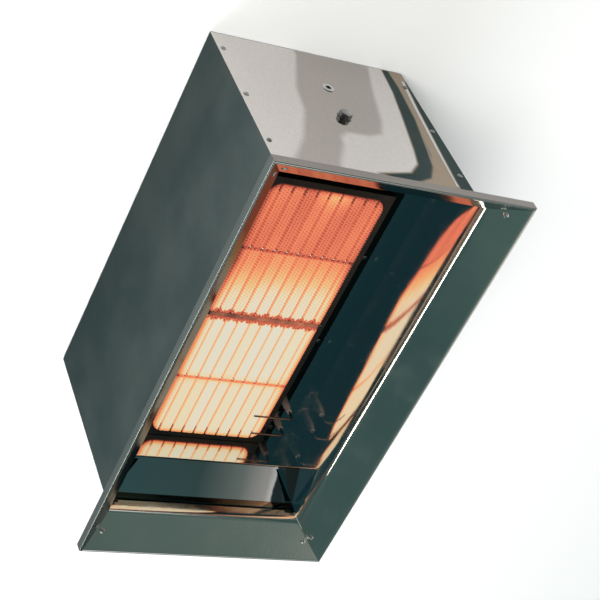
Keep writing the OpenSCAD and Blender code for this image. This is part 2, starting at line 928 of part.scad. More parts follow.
module burner_tray() {
  l = 2 * (inner_x - tray_end_gap);
  w = 2 * (inner_y - tray_side_gap);
  notch_w = bolt_af + 2 * notch_play;
  notch_x = wall_x + washer_t - bolt_l - notch_play;
  color([0.35, 0.38, 0.38]) difference() {
    translate([0, 0, tray_z - sheet_t]) linear_extrude(sheet_t) difference() {
      square([l, w], center = true);
      translate([burner_x, 0])
        square([plenum_out_l + 2 * tray_cut_gap, plenum_out_w + 2 * tray_cut_gap], center = true);
      for (side = [-1, 1]) translate([side * (notch_x + wall_x) / 2, 0])
        square([wall_x - notch_x, notch_w], center = true);
    }
    at_tray_screws() screw_hole();
    at_plenum_screws() screw_hole();
    at_foot_screws() screw_hole();
    at_electrodes() translate([0, 0, tray_z])
      cylinder(r = insulator_r + seat_gap, h = 4 * sheet_t, center = true);
  }
}

module tray_screws() {
  color("silver") at_tray_screws() pan_screw(screw_l);
}

// Places of the screws in the flange of the mixing tube
module at_tube_screws() {
  for (angle = [45:90:315])
    translate([tube_x, gas_y, tube_top_z - tube_flange_t]) rotate(angle)
      translate([tube_screw_pitch_r, 0, 0]) children();
}

// Places of the long screws at the ends of the middle seam
module at_bar_screws() {
  both_sides() translate([burner_x, bar_screw_y, frame_top_z]) children();
}

// Places of the screws in the skirt of the retaining frame
module at_skirt_screws() {
  for (share = frame_screw_shares)
    both_sides() translate([burner_x + share * frame_out_l / 2, frame_out_w / 2, frame_top_z - frame_screw_drop])
      rotate([-90, 0, 0]) children();
}

// Pressed box that feeds the plaques, with the ledge that they lie on
module plenum() {
  top = base_top_z - seat_gap;
  color([0.42, 0.42, 0.40]) difference() {
    union() {
      translate([burner_x, 0, plenum_z]) linear_extrude(top - plenum_z) difference() {
        square([plenum_out_l, plenum_out_w], center = true);
        square([plenum_in_l, plenum_in_w], center = true);
      }
      translate([burner_x, 0, plenum_z]) linear_extrude(plenum_t)
        square([plenum_out_l, plenum_out_w], center = true);
      translate([burner_x, 0, tray_z]) linear_extrude(plenum_t) difference() {
        square([plenum_out_l + 2 * plenum_flange_w, plenum_out_w + 2 * plenum_flange_w], center = true);
        square([plenum_in_l, plenum_in_w], center = true);
      }
      translate([burner_x, 0, ledge_z - plenum_t]) linear_extrude(plenum_t) difference() {
        square([plenum_out_l, plenum_out_w], center = true);
        square([plenum_in_l - 2 * ledge_w, plenum_in_w - 2 * ledge_w], center = true);
        square([bar_w + 2 * seat_gap, plenum_in_w], center = true);
      }
    }
    at_plenum_screws() screw_hole();
    at_foot_screws() screw_hole();
    at_skirt_screws() screw_hole();
    translate([tube_x, gas_y, plenum_z - overrun]) cylinder(r = tube_r - tube_t, h = 2 * overrun + plenum_t);
    at_tube_screws() screw_hole();
  }
}

module plenum_screws() {
  color("silver") {
    at_plenum_screws() pan_screw(plenum_screw_l);
    at_foot_screws() pan_screw(plenum_screw_l);
  }
}

// Perforated plate that spreads the gas and air under the plaques
module baffle() {
  floor_z = plenum_z + plenum_t;
  l = plenum_in_l - 2 * baffle_play;
  w = plenum_in_w - 2 * baffle_play;
  dx = l / baffle_columns;
  dy = w / baffle_rows;
  color([0.5, 0.5, 0.48]) difference() {
    translate([burner_x - l / 2, -w / 2, floor_z]) cube([l, w, baffle_h]);
    translate([burner_x - l / 2 + sheet_t, -w / 2 - overrun, floor_z - overrun])
      cube([l - 2 * sheet_t, w + 2 * overrun, baffle_h - sheet_t + overrun]);
    for (i = [0:baffle_columns - 1], j = [0:baffle_rows - 1])
      translate([burner_x - l / 2 + (i + 0.5) * dx, -w / 2 + (j + 0.5) * dy, floor_z + baffle_h - overrun])
        cylinder(r = baffle_hole_r, h = 2 * overrun);
  }
}

// Channel across the plenum that carries the inner ends of the plaques
module cross_bar() {
  w = plenum_in_w - 2 * seat_gap;
  color([0.5, 0.5, 0.48]) difference() {
    translate([burner_x - bar_w / 2, -w / 2, ledge_z - bar_h]) cube([bar_w, w, bar_h]);
    translate([burner_x - bar_w / 2 + bar_t, -w / 2 - overrun, ledge_z - bar_h - overrun])
      cube([bar_w - 2 * bar_t, w + 2 * overrun, bar_h - bar_t + overrun]);
    at_bar_screws() cylinder(r = screw_r + seat_gap, h = 2 * bar_screw_l, center = true);
  }
}

// Middle of plaque i along the burner
function plaque_middle(i) =
  burner_x - field_l / 2 + (i + 0.5) * plaque_l
  + (i > 0 ? seam_w : 0) + (i > 1 ? centre_seam_w - seam_w : 0) + (i > 1 ? seam_w : 0)
  + (i > 2 ? seam_w : 0);

// Fibre sheet under and round the plaques and between the two of a pair
module gasket() {
  pad_l = plenum_in_l - 2 * seat_gap;
  pad_w = plenum_in_w - 2 * seat_gap;
  hole_l = plenum_in_l - 2 * ledge_w;
  hole_w = plenum_in_w - 2 * ledge_w;
  color([0.85, 0.83, 0.76]) difference() {
    union() {
      translate([burner_x, 0, ledge_z]) linear_extrude(gasket_t) {
        difference() {
          square([pad_l, pad_w], center = true);
          square([hole_l, hole_w], center = true);
        }
        square([bar_w, pad_w], center = true);
      }
      translate([burner_x, 0, ledge_z]) linear_extrude(base_top_z - ledge_z) difference() {
        square([pad_l, pad_w], center = true);
        square([field_l + seat_gap, plaque_w + seat_gap], center = true);
      }
      for (i = [0, 2]) translate([plaque_middle(i) + plaque_l / 2 + seam_w / 2, 0, ledge_z])
        linear_extrude(base_top_z - ledge_z) square([seam_w - seat_gap, pad_w], center = true);
    }
    at_bar_screws() cylinder(r = screw_r + seat_gap, h = 2 * bar_screw_l, center = true);
  }
}

// Cross-section of one rib, standing on z = 0
module rib_section() {
  half = (rib_pitch - groove_w) / 2;
  shoulder = rib_h * rib_shoulder_share;
  polygon([
    [-half, -shoulder],
    [half, -shoulder],
    [half, rib_h - shoulder],
    [half - shoulder, rib_h],
    [shoulder - half, rib_h],
    [-half, rib_h - shoulder]
  ]);
}

// Ceramic plaque i of the row, its ribs ending at the opening of the retaining frame
module plaque(i) {
  color([0.98, 0.62, 0.38]) {
    translate([plaque_middle(i) - plaque_l / 2, -plaque_w / 2, base_z])
      cube([plaque_l, plaque_w, plaque_base_t]);
    intersection() {
      translate([plaque_middle(i), 0, base_top_z]) for (k = [0:rib_count - 1])
        translate([0, (k + 0.5) * rib_pitch - plaque_w / 2, 0]) along_x(plaque_l) rib_section();
      translate([burner_x, 0, base_z]) linear_extrude(plaque_base_t + 2 * rib_h)
        rounded_rect(window_l - 4 * seat_gap, window_w - 4 * seat_gap, frame_corner_r);
    }
  }
}

module plaque_1() {
  plaque(0);
}

module plaque_2() {
  plaque(1);
}

module plaque_3() {
  plaque(2);
}

module plaque_4() {
  plaque(3);
}

// Fibre bead between the two pairs of plaques
module centre_seam() {
  half = centre_seam_w / 2 - seat_gap;
  color([0.72, 0.36, 0.25]) translate([burner_x, 0, base_z])
    along_y(window_w - 2 * screw_r) polygon(concat(
      [[half, 0]],
      [
        for (a = [0:15:180])
          [half * cos(a), plaque_base_t + rib_h + seam_crown * sin(a)]
      ],
      [[-half, 0]]
    ));
}

// Folded frame that holds the plaques down by their edges
module retaining_frame() {
  color([0.45, 0.38, 0.34]) difference() {
    translate([burner_x, 0, frame_top_z - frame_h]) linear_extrude(frame_h)
      square([frame_out_l, frame_out_w], center = true);
    translate([burner_x, 0, frame_top_z - frame_h - overrun]) linear_extrude(frame_h + overrun - frame_t)
      square([frame_in_l, frame_in_w], center = true);
    translate([burner_x, 0, base_z]) linear_extrude(plaque_base_t + frame_h)
      rounded_rect(window_l, window_w, frame_corner_r);
    at_bar_screws() cylinder(r = screw_r + seat_gap, h = 2 * bar_screw_l, center = true);
    at_skirt_screws() screw_hole();
  }
}

module frame_screws() {
  color("silver") {
    at_bar_screws() pan_screw(bar_screw_l);
    at_skirt_screws() pan_screw(frame_screw_l);
  }
}

// Mirror at the gas end of the burner, its ledge and the fold against the end panel
module end_reflector() {
  foot_z = tray_z + plenum_t + sheet_t;
  path = folded_path(
    [
      [mirror_x + mirror_foot_l, foot_z],
      [mirror_x, foot_z],
      [mirror_x, face_z + mirror_h],
      [ledge_x, ledge_end_z],
      [ledge_x, ledge_end_z + ledge_fold_h]
    ],
    [fold_r, fold_r, fold_r]
  );
  color([0.66, 0.68, 0.67]) difference() {
    along_y(2 * reflector_half_w) polygon(sheet_outline(path, sheet_t));
    both_sides() translate([0, 0, face_z + mirror_h - overrun]) linear_extrude(root_z) polygon([
      [mirror_x + overrun, relief_inner_share * wall_y],
      [ledge_x - overrun - sheet_t, relief_outer_share * wall_y],
      [ledge_x - overrun - sheet_t, relief_outer_share * wall_y + relief_w * relief_taper_share],
      [mirror_x + overrun, relief_inner_share * wall_y + relief_w]
    ]);
    at_foot_screws() screw_hole();
  }
}

// Outer path of the mixing tube: collar, bell mouth, throat, diffuser and straight end
function tube_path() =
  let (
    throat = throat_r + tube_t,
    bell_end = bell_collar_l + bell_l
  )
  concat(
    [[bell_r, 0]],
    [
      for (a = [0:10:90])
        [throat + (bell_r - throat) * (1 - sin(a)), bell_collar_l + bell_l * (1 - cos(a))]
    ],
    [
      [throat, bell_end + throat_l],
      [tube_r, bell_end + throat_l + diffuser_l],
      [tube_r, tube_l]
    ]
  );

module mixing_tube() {
  stub_z = gas_z + elbow_r;
  color([0.62, 0.63, 0.62]) difference() {
    union() {
      translate([bell_x, gas_y, gas_z]) rotate([0, -90, 0])
        rotate_extrude() polygon(sheet_outline(tube_path(), tube_t));
      translate([elbow_x, gas_y, stub_z]) rotate([-90, 90, 0])
        rotate_extrude(angle = 90) translate([elbow_r, 0]) difference() {
          circle(tube_r);
          circle(tube_r - tube_t);
        }
      translate([tube_x, gas_y, 0]) rotate_extrude() polygon([
        [tube_r - tube_t, stub_z],
        [tube_r, stub_z],
        [tube_r, tube_top_z - tube_flange_t],
        [tube_flange_r, tube_top_z - tube_flange_t],
        [tube_flange_r, tube_top_z],
        [tube_r - tube_t, tube_top_z]
      ]);
    }
    at_tube_screws() screw_hole();
  }
}

module tube_gasket() {
  color([0.25, 0.25, 0.25]) difference() {
    translate([tube_x, gas_y, tube_top_z]) difference() {
      cylinder(r = tube_flange_r, h = tube_gasket_t);
      translate([0, 0, -overrun]) cylinder(r = tube_r - tube_t, h = tube_gasket_t + 2 * overrun);
    }
    at_tube_screws() screw_hole();
  }
}

module tube_screws() {
  color("silver") at_tube_screws() mirror([0, 0, 1]) pan_screw(screw_l);
}

// Hexagon body with a conical jet, pointing into the bell mouth
module injector() {
  bore_l = injector_hex_l + jet_l * 0.7;
  color([0.78, 0.62, 0.28]) translate([injector_x, gas_y, gas_z]) rotate([0, -90, 0]) difference() {
    union() {
      hex(injector_af, injector_hex_l);
      translate([0, 0, injector_hex_l]) rotate_extrude() polygon([
        [0, 0],
        [pipe_r, 0],
        [pipe_r, jet_l * 0.4],
        [jet_tip_r, jet_l],
        [0, jet_l]
      ]);
    }
    translate([0, 0, -overrun]) cylinder(r = pipe_bore_r, h = bore_l + overrun - jet_tip_r);
    cylinder(r = jet_r, h = injector_hex_l + jet_l + overrun);
  }
}

// Cage that holds the injector in line with the bell mouth
module injector_bracket() {
  ring_r = bell_r + seat_gap;
  out_r = ring_r + cage_t;
  plate_at = injector_gap - cage_t;
  arm_angle = asin(cage_arm_w / 2 / out_r);
  window = 3 * out_r * [for (a = [arm_angle, 120 - arm_angle]) [cos(a), sin(a)]];
  color([0.6, 0.6, 0.6]) translate([bell_x, gas_y, gas_z]) rotate([0, 90, 0]) difference() {
    translate([0, 0, -bell_collar_l]) cylinder(r = out_r, h = bell_collar_l + injector_gap);
    translate([0, 0, -bell_collar_l - overrun]) cylinder(r = ring_r, h = bell_collar_l + overrun + plate_at);
    cylinder(r = pipe_r + seat_gap, h = injector_gap + overrun);
    for (angle = [0, 120, 240]) rotate(angle) linear_extrude(plate_at) polygon(concat([[0, 0]], window));
  }
}

module gas_pipe() {
  color([0.78, 0.62, 0.28]) translate([injector_x, gas_y, gas_z]) rotate([0, 90, 0]) difference() {
    cylinder(r = pipe_r, h = pipe_l);
    translate([0, 0, -overrun]) cylinder(r = pipe_bore_r, h = pipe_l + 2 * overrun);
  }
}

// Plate across the back folds that carries the gas train and the control box
module component_plate() {
  x1 = wall_x - plate_inset;
  w = 2 * (wall_y - plate_edge_gap);
  color([0.6, 0.6, 0.6]) translate([x1 - plate_l, -w / 2, flange_top_z]) cube([plate_l, w, plate_t]);
}

module valve_bracket() {
  h = gas_z - valve_below - plate_z;
  color([0.6, 0.6, 0.6]) translate([valve_x, gas_y, plate_z]) difference() {
    translate([-bracket_l / 2, -bracket_w / 2, 0]) cube([bracket_l, bracket_w, h]);
    translate([-bracket_l / 2 - overrun, bracket_t - bracket_w / 2, -overrun])
      cube([bracket_l + 2 * overrun, bracket_w - 2 * bracket_t, h - bracket_t + overrun]);
  }
}

// Valve block with its inlet, the chamber with the sealing rim, and its outlet
module valve_body() {
  base_z = gas_z - valve_below;
  color([0.70, 0.70, 0.72]) difference() {
    translate([valve_x0, gas_y - valve_w / 2, base_z]) cube([valve_l, valve_w, valve_top_z - base_z]);
    difference() {
      translate([valve_x, gas_y, chamber_z]) cylinder(r = chamber_r, h = valve_top_z);
      translate([valve_x, gas_y, chamber_z - overrun]) cylinder(r = seat_bore_r + seat_rim_w, h = seat_rim_h + overrun);
    }
    translate([valve_x, gas_y, gas_z]) cylinder(r = seat_bore_r, h = seat_z);
    translate([valve_x0 - overrun, gas_y, gas_z]) rotate([0, 90, 0])
      cylinder(r = port_r, h = valve_l / 2 + overrun + port_r);
    translate([valve_x + port_r, gas_y, inlet_z]) rotate([0, 90, 0])
      cylinder(r = port_r, h = valve_l / 2 + overrun);
  }
}

// Tube that guides the plunger, closed by the fixed core
module armature_tube() {
  color("silver") translate([valve_x, gas_y, 0]) rotate_extrude() polygon([
    [armature_bore_r, valve_top_z],
    [armature_flange_r, valve_top_z],
    [armature_flange_r, coil_z],
    [armature_r, coil_z],
    [armature_r, armature_top_z],
    [0, armature_top_z],
    [0, core_z],
    [armature_bore_r, core_z]
  ]);
}

module valve_coil() {
  color([0.12, 0.12, 0.13]) translate([valve_x, gas_y, coil_z + seat_gap]) difference() {
    linear_extrude(coil_h) rounded_rect(coil_w, coil_w, coil_w / 8);
    translate([0, 0, -overrun]) cylinder(r = armature_r + seat_gap, h = coil_h + 2 * overrun);
  }
}

module coil_nut() {
  color("silver") translate([valve_x, gas_y, coil_z + coil_h + 2 * seat_gap]) difference() {
    cylinder(r = coil_nut_r, h = coil_nut_h, $fn = 6);
    translate([0, 0, -overrun]) cylinder(r = armature_r + seat_gap, h = coil_nut_h + 2 * overrun);
  }
}

module coil_plug() {
  color([0.2, 0.2, 0.22]) translate([valve_x, gas_y - coil_w / 2 - plug_l / 2 - seat_gap, coil_z + coil_h / 2])
    rotate([90, 0, 0]) translate([0, 0, -plug_l / 2]) linear_extrude(plug_l) rounded_rect(plug_w, plug_h, plug_w / 6);
}

// Plunger that the coil lifts, with a pocket for its spring
module valve_plunger() {
  color([0.75, 0.75, 0.76]) translate([valve_x, gas_y, plunger_z]) rotate_extrude() polygon([
    [0, 0],
    [plunger_r, 0],
    [plunger_r, plunger_l],
    [pocket_r, plunger_l],
    [pocket_r, plunger_l - pocket_d],
    [0, plunger_l - pocket_d]
  ]);
}

module valve_seal() {
  color([0.1, 0.1, 0.1]) translate([valve_x, gas_y, seal_z]) cylinder(r = seal_r, h = seal_t);
}

// Direction across a tube that runs along t
function across(t) = unit(cross(t, abs(t.x) > abs(t.z) ? [0, 1, 0] : [1, 0, 0]));

// Ring of n points round p, square to direction t
function ring(p, t, r, n) =
  let (u = across(t), v = cross(unit(t), u))
  [for (k = [0:n - 1]) p + r * (u * cos(360 * k / n) + v * sin(360 * k / n))];

// Direction of a route at point i
function heading(route, i) = route[min(i + 1, len(route) - 1)] - route[max(i - 1, 0)];

// Closed tube of n sides along a route
module swept_tube(route, r, n) {
  rings = len(route);
  polyhedron(
    points = [for (i = [0:rings - 1]) each ring(route[i], heading(route, i), r, n)],
    faces = concat(
      [[for (k = [0:n - 1]) k]],
      [
        for (i = [0:rings - 2], k = [0:n - 1])
          each [
            [i * n + k, (i + 1) * n + k, (i + 1) * n + (k + 1) % n],
            [i * n + k, (i + 1) * n + (k + 1) % n, i * n + (k + 1) % n]
          ]
      ],
      [[for (k = [n - 1:-1:0]) (rings - 1) * n + k]]
    )
  );
}

// Coil spring between the plunger's pocket and the core
module valve_spring() {
  low = plunger_z + plunger_l - pocket_d + spring_wire_r + seat_gap;
  high = core_z - spring_wire_r - seat_gap;
  steps = spring_turns * spring_steps;
  color("silver") translate([valve_x, gas_y, 0]) swept_tube(
    [
      for (i = [0:steps])
        [spring_r * cos(360 * i / spring_steps), spring_r * sin(360 * i / spring_steps), low + (high - low) * i / steps]
    ],
    spring_wire_r, spring_sides
  );
}

// Threaded gas inlet that passes through the end panel
module inlet_union() {
  inner = wall_x - sheet_t - seat_gap - valve_x1;
  color([0.78, 0.62, 0.28]) translate([valve_x1, gas_y, inlet_z]) rotate([0, 90, 0]) rotate_extrude() polygon([
    [port_r, 0],
    [union_neck_r, 0],
    [union_neck_r, inner - union_shoulder_l],
    [union_shoulder_r, inner - union_shoulder_l],
    [union_shoulder_r, inner],
    [inlet_shank_r, inner],
    [inlet_shank_r, valve_inset + locknut_h + thread_relief],
    [inlet_r, valve_inset + locknut_h + thread_relief],
    [inlet_r, valve_inset + inlet_l - sheet_t],
    [inlet_r - sheet_t, valve_inset + inlet_l],
    [inlet_bore_r, valve_inset + inlet_l],
    [inlet_bore_r, inner],
    [port_r, inner - union_shoulder_l]
  ]);
}

module inlet_locknut() {
  color([0.78, 0.62, 0.28]) translate([wall_x, gas_y, inlet_z]) rotate([0, 90, 0]) difference() {
    hex(inlet_af, locknut_h);
    translate([0, 0, -overrun]) cylinder(r = inlet_shank_r + seat_gap, h = locknut_h + 2 * overrun);
  }
}

// Cable gland: thread through the panel, hexagon and domed cap outside
module cable_gland() {
  inside = sheet_t + locknut_h + overrun;
  dome_r = gland_af / 2;
  dome_l = gland_l - gland_hex_l;
  color([0.15, 0.15, 0.16]) translate([wall_x, gland_y, gland_z]) rotate([0, 90, 0]) difference() {
    union() {
      translate([0, 0, -inside]) cylinder(r = gland_r, h = inside + gland_hex_l / 2);
      hex(gland_af, gland_hex_l);
      translate([0, 0, gland_hex_l]) rotate_extrude() polygon(concat(
        [[0, 0]],
        [for (a = [0:15:75]) [dome_r * (0.6 + 0.4 * cos(a)), dome_l * sin(a) / sin(75)]],
        [[0, dome_l]]
      ));
    }
    translate([0, 0, -inside - overrun]) cylinder(r = gland_bore_r, h = inside + gland_l + 2 * overrun);
  }
}

module gland_locknut() {
  x = inner_x - seat_gap - locknut_h;
  color([0.15, 0.15, 0.16]) translate([x, gland_y, gland_z]) rotate([0, 90, 0]) difference() {
    hex(gland_af, locknut_h);
    translate([0, 0, -overrun]) cylinder(r = gland_r + seat_gap, h = locknut_h + 2 * overrun);
  }
}

module control_box() {
  corner_r = box_t * 1.5;
  color([0.82, 0.82, 0.80]) translate([box_x, box_y, 0]) {
    translate([0, 0, box_z]) difference() {
      linear_extrude(box_h) rounded_rect(box_l, box_w, corner_r);
      translate([0, 0, box_t]) linear_extrude(box_h)
        rounded_rect(box_l - 2 * box_t, box_w - 2 * box_t, corner_r / 2);
    }
    for (x = [-1, 1], y = [-1, 1])
      translate([x * (box_l / 2 - 2 * foot_r), y * (box_w / 2 - 2 * foot_r), plate_z])
        cylinder(r = foot_r, h = box_foot_h + box_t / 2);
  }
}

module control_box_lid() {
  corner_r = box_t * 1.5;
  color([0.88, 0.88, 0.86]) {
    translate([box_x, box_y, box_z + box_h]) linear_extrude(box_lid_h) rounded_rect(box_l, box_w, corner_r);
    for (side = [-1, 1]) translate([box_x + side * terminal_pitch / 2, terminal_y, box_top_z - box_t])
      cylinder(r = terminal_r, h = terminal_h + box_t);
  }
}

// Angle on the tray that the electrodes stand in, with pointed webs at its ends
module electrode_bracket() {
  y0 = electrode_y - electrode_gap;
  color([0.6, 0.6, 0.58]) difference() {
    union() {
      translate([electrode_x - electrode_bracket_l / 2, y0, tray_z])
        cube([electrode_bracket_l, bracket_foot_w, electrode_bracket_t]);
      for (side = [-1, 1]) translate([electrode_x + side * (electrode_bracket_l - electrode_bracket_t) / 2, y0, tray_z])
        along_x(electrode_bracket_t) polygon([
          [0, 0],
          [bracket_foot_w, 0],
          [bracket_foot_w, electrode_bracket_t],
          [electrode_bracket_t, electrode_bracket_h],
          [0, electrode_bracket_h]
        ]);
    }
    at_electrodes() translate([0, 0, tray_z])
      cylinder(r = insulator_r + seat_gap, h = 4 * electrode_bracket_t, center = true);
  }
}

// Ceramic insulator with a collar that sits on the bracket
module insulator() {
  seat = tray_z + electrode_bracket_t;
  high = seat + insulator_above;
  low = high - insulator_l;
  bore = rod_r + seat_gap;
  rotate_extrude() polygon([
    [bore, low],
    [insulator_tip_r, low],
    [insulator_r, low + insulator_r],
    [insulator_r, seat],
    [collar_r, seat],
    [collar_r, seat + collar_h],
    [insulator_r, seat + collar_h],
    [insulator_r, high - 2 * insulator_r],
    [insulator_tip_r, high],
    [bore, high]
  ]);
}

// Bent wire from below the insulator to its tip over the plaques
module electrode_rod(extra) {
  low = tray_z + electrode_bracket_t + insulator_above - insulator_l - rod_below;
  high = face_z + rod_rise;
  tip_y = window_w / 2 - rod_reach - extra;
  translate([0, 0, low]) cylinder(r = rod_r, h = high - rod_bend_r - low);
  translate([0, -rod_bend_r, high - rod_bend_r]) rotate([0, -90, 0])
    rotate_extrude(angle = 90) translate([rod_bend_r, 0]) circle(rod_r);
  translate([0, -rod_bend_r, high]) rotate([90, 0, 0])
    cylinder(r = rod_r, h = electrode_y - rod_bend_r - tip_y);
}

module spark_insulator() {
  color([0.95, 0.94, 0.90]) translate([electrode_x + electrode_pitch / 2, electrode_y, 0]) insulator();
}

module spark_rod() {
  color([0.7, 0.68, 0.66]) translate([electrode_x + electrode_pitch / 2, electrode_y, 0]) electrode_rod(0);
}

module sense_insulator() {
  color([0.95, 0.94, 0.90]) translate([electrode_x - electrode_pitch / 2, electrode_y, 0]) insulator();
}

module sense_rod() {
  color([0.7, 0.68, 0.66]) translate([electrode_x - electrode_pitch / 2, electrode_y, 0])
    electrode_rod(rod_reach / 2);
}

// Two leads that rise from the control box and swing over to the electrodes
module ignition_leads() {
  high = tray_z + electrode_bracket_t + insulator_above - insulator_l - rod_below;
  straight = 2 * lead_r;
  color([0.75, 0.12, 0.08]) for (side = [-1, 1]) {
    start = [box_x + side * terminal_pitch / 2, terminal_y, terminal_z];
    end = [electrode_x + side * electrode_pitch / 2, electrode_y, high];
    run = end - start - [0, 0, 2 * straight];
    swept_tube(
      concat(
        [start],
        [
          for (i = [0:lead_steps])
            let (s = i / lead_steps, ease = s * s * (3 - 2 * s))
            start + [run.x * ease, run.y * ease, straight + run.z * s]
        ],
        [end]
      ),
      lead_r, lead_sides
    );
  }
}

left_side_panel();
right_side_panel();
plain_end_panel();
gas_end_panel();
end_rivets();
corner_gussets();
corner_rivets();
pivot_doublers();
pivot_bolts();
toothed_washers();
pivot_nuts();
locking_inserts();
back_cover();
cover_screws();
tray_rails();
burner_tray();
tray_screws();
plenum();
plenum_screws();
baffle();
cross_bar();
gasket();
plaque_1();
plaque_2();
plaque_3();
plaque_4();
centre_seam();
retaining_frame();
frame_screws();
end_reflector();
mixing_tube();
tube_gasket();
tube_screws();
injector();
injector_bracket();
gas_pipe();
component_plate();
valve_bracket();
valve_body();
armature_tube();
valve_coil();
coil_nut();
coil_plug();
valve_plunger();
valve_seal();
valve_spring();
inlet_union();
inlet_locknut();
cable_gland();
gland_locknut();
control_box();
control_box_lid();
electrode_bracket();
spark_insulator();
spark_rod();
sense_insulator();
sense_rod();
ignition_leads();
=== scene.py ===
"""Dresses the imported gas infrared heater: polished sheet housing, glowing plaques, stage and camera."""

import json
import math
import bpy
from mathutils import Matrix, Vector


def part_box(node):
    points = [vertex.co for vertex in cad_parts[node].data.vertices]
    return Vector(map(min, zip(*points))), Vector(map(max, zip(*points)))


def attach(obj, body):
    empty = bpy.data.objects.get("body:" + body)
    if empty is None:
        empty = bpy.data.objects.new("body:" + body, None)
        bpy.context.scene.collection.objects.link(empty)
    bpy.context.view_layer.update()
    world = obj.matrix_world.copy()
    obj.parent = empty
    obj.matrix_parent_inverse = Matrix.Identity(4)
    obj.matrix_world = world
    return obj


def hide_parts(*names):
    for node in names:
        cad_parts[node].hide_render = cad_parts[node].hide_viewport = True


bl_info = {
    "name": "Gas Infrared Heater",
    "version": (1, 0, 0),
    "blender": (4, 5, 0),
    "location": "View3D > Sidebar > Heater",
    "description": "Builds the finishes, plaques and stage of a gas infrared heater around its CAD parts",
    "category": "Object",
}

import bmesh
import bpy
import numpy as np
from bpy.props import FloatProperty, FloatVectorProperty, IntProperty, PointerProperty
from mathutils import Matrix

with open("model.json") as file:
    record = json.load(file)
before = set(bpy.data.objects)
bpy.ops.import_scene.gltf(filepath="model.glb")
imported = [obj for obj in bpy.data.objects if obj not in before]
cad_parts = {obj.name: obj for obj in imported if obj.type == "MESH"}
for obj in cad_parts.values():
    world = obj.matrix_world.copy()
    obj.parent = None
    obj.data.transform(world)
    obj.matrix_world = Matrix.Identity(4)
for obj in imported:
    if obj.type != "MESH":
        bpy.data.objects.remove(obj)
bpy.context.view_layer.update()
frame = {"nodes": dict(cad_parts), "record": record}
BODY = "housing"

# The camera, from its fit to the photo: right, down and forward directions, and its place in metres
CAMERA_RIGHT = (-0.40331438, 0.86237153, 0.30602753)
CAMERA_DOWN = (0.74724632, 0.11735259, 0.65410344)
CAMERA_AHEAD = (0.52816706, 0.49248727, -0.69173394)
CAMERA_PLACE = (-1.012775, -0.889100, 1.464685)
SENSOR_MM = 36.0

# Heights between which the reflector's wall passes into its ledge, in metres
LEDGE_Z = (0.2085, 0.2095)
# Tone of the painted grey reflection band along a flare's root, and share of the inner colour that is kept past the
# rim, a painted shade on the lip
ROOT_REFLECTION_TONE = 0.48
RIM_SHARE = 0.12
# Largest section step and number of cuts along the panels, sides first and ends second
SECTION_STEP = (0.004, 0.002)
CUTS = (90, 230)
# Radius of the bores in the end panels: locking insert, gas inlet and cable entry
INSERT_BORE, INLET_BORE, CABLE_BORE = 0.0054, 0.0115, 0.010
RIBS = 10
FLOOR_HALF, FLOOR_Z = 4.0, -0.0004


# ---------------------------------------------------------------- sizes and colours


class HousingSizes(bpy.types.PropertyGroup):
    """Sizes of the sheet housing, in metres."""

    length: FloatProperty(name="Length", description="Outside length of the housing", default=0.490, unit="LENGTH")
    width: FloatProperty(name="Width", description="Outside width of the housing", default=0.250, unit="LENGTH")
    root: FloatProperty(name="Flare root", description="Height of the flare's root", default=0.256, unit="LENGTH")
    flare_run: FloatProperty(name="Flare run", description="Spread of the flare", default=0.032, unit="LENGTH")
    flare_rise: FloatProperty(name="Flare rise", description="Height of the flare", default=0.037, unit="LENGTH")
    sheet: FloatProperty(name="Sheet", description="Thickness of the sheet", default=0.001, unit="LENGTH")
    fold: FloatProperty(name="Fold", description="Width of the back folds", default=0.014, unit="LENGTH")
    lip: FloatProperty(name="Lip", description="Depth of the lip behind the rim", default=0.012, unit="LENGTH")
    mitre: FloatProperty(name="Mitre gap", description="Half of the gap at a mitre", default=0.00015, unit="LENGTH")


class BurnerLooks(bpy.types.PropertyGroup):
    """Sizes and glow of the ceramic plaques."""

    rib_height: FloatProperty(name="Rib height", description="Height of the ribs", default=0.003, unit="LENGTH")
    groove: FloatProperty(name="Groove", description="Width of the grooves", default=0.0022, unit="LENGTH")
    hole_pitch: FloatProperty(
        name="Hole pitch", description="Distance between burner holes", default=0.0038, unit="LENGTH"
    )
    hole_radius: FloatProperty(
        name="Hole radius", description="Radius of a burner hole", default=0.00085, unit="LENGTH"
    )
    grid: FloatProperty(name="Grid", description="Spacing of the plaque's surface grid", default=0.00055, unit="LENGTH")
    glow: FloatProperty(name="Glow", description="Strength of the glow", default=0.95, min=0.0)


class StageLooks(bpy.types.PropertyGroup):
    """Floor, lights and camera."""

    floor: FloatVectorProperty(
        name="Floor", description="Colour of the floor", default=(0.93, 0.93, 0.925), subtype="COLOR"
    )
    key: FloatProperty(name="Key", description="Power of the key light", default=90.0, subtype="POWER", unit="POWER")
    fill: FloatProperty(name="Fill", description="Power of the fill light", default=55.0, subtype="POWER", unit="POWER")
    streak: FloatProperty(
        name="Streak",
        description="Power of the low light seen in the bends",
        default=22.0,
        subtype="POWER",
        unit="POWER",
    )
    lens: FloatProperty(name="Lens", description="Focal length in millimetres", default=98.665)
    floor_cells: IntProperty(name="Floor cells", description="Grid cells along the floor", default=24)


# ---------------------------------------------------------------- mesh helpers


def smooth_step(x):
    """3x^2 - 2x^3 between 0 and 1."""
    x = np.clip(x, 0, 1)
    return x * x * (3 - 2 * x)


def grid_quads(rows, cols, wrap=False):
    """Quads of a rows x cols grid; with wrap the last column joins the first."""
    r = np.arange(rows - 1)[:, None]
    c = np.arange(cols if wrap else cols - 1)[None, :]
    n = (c + 1) % cols
    quads = np.stack([r * cols + c, r * cols + n, (r + 1) * cols + n, (r + 1) * cols + c], axis=-1)
    return quads.reshape(-1, 4)


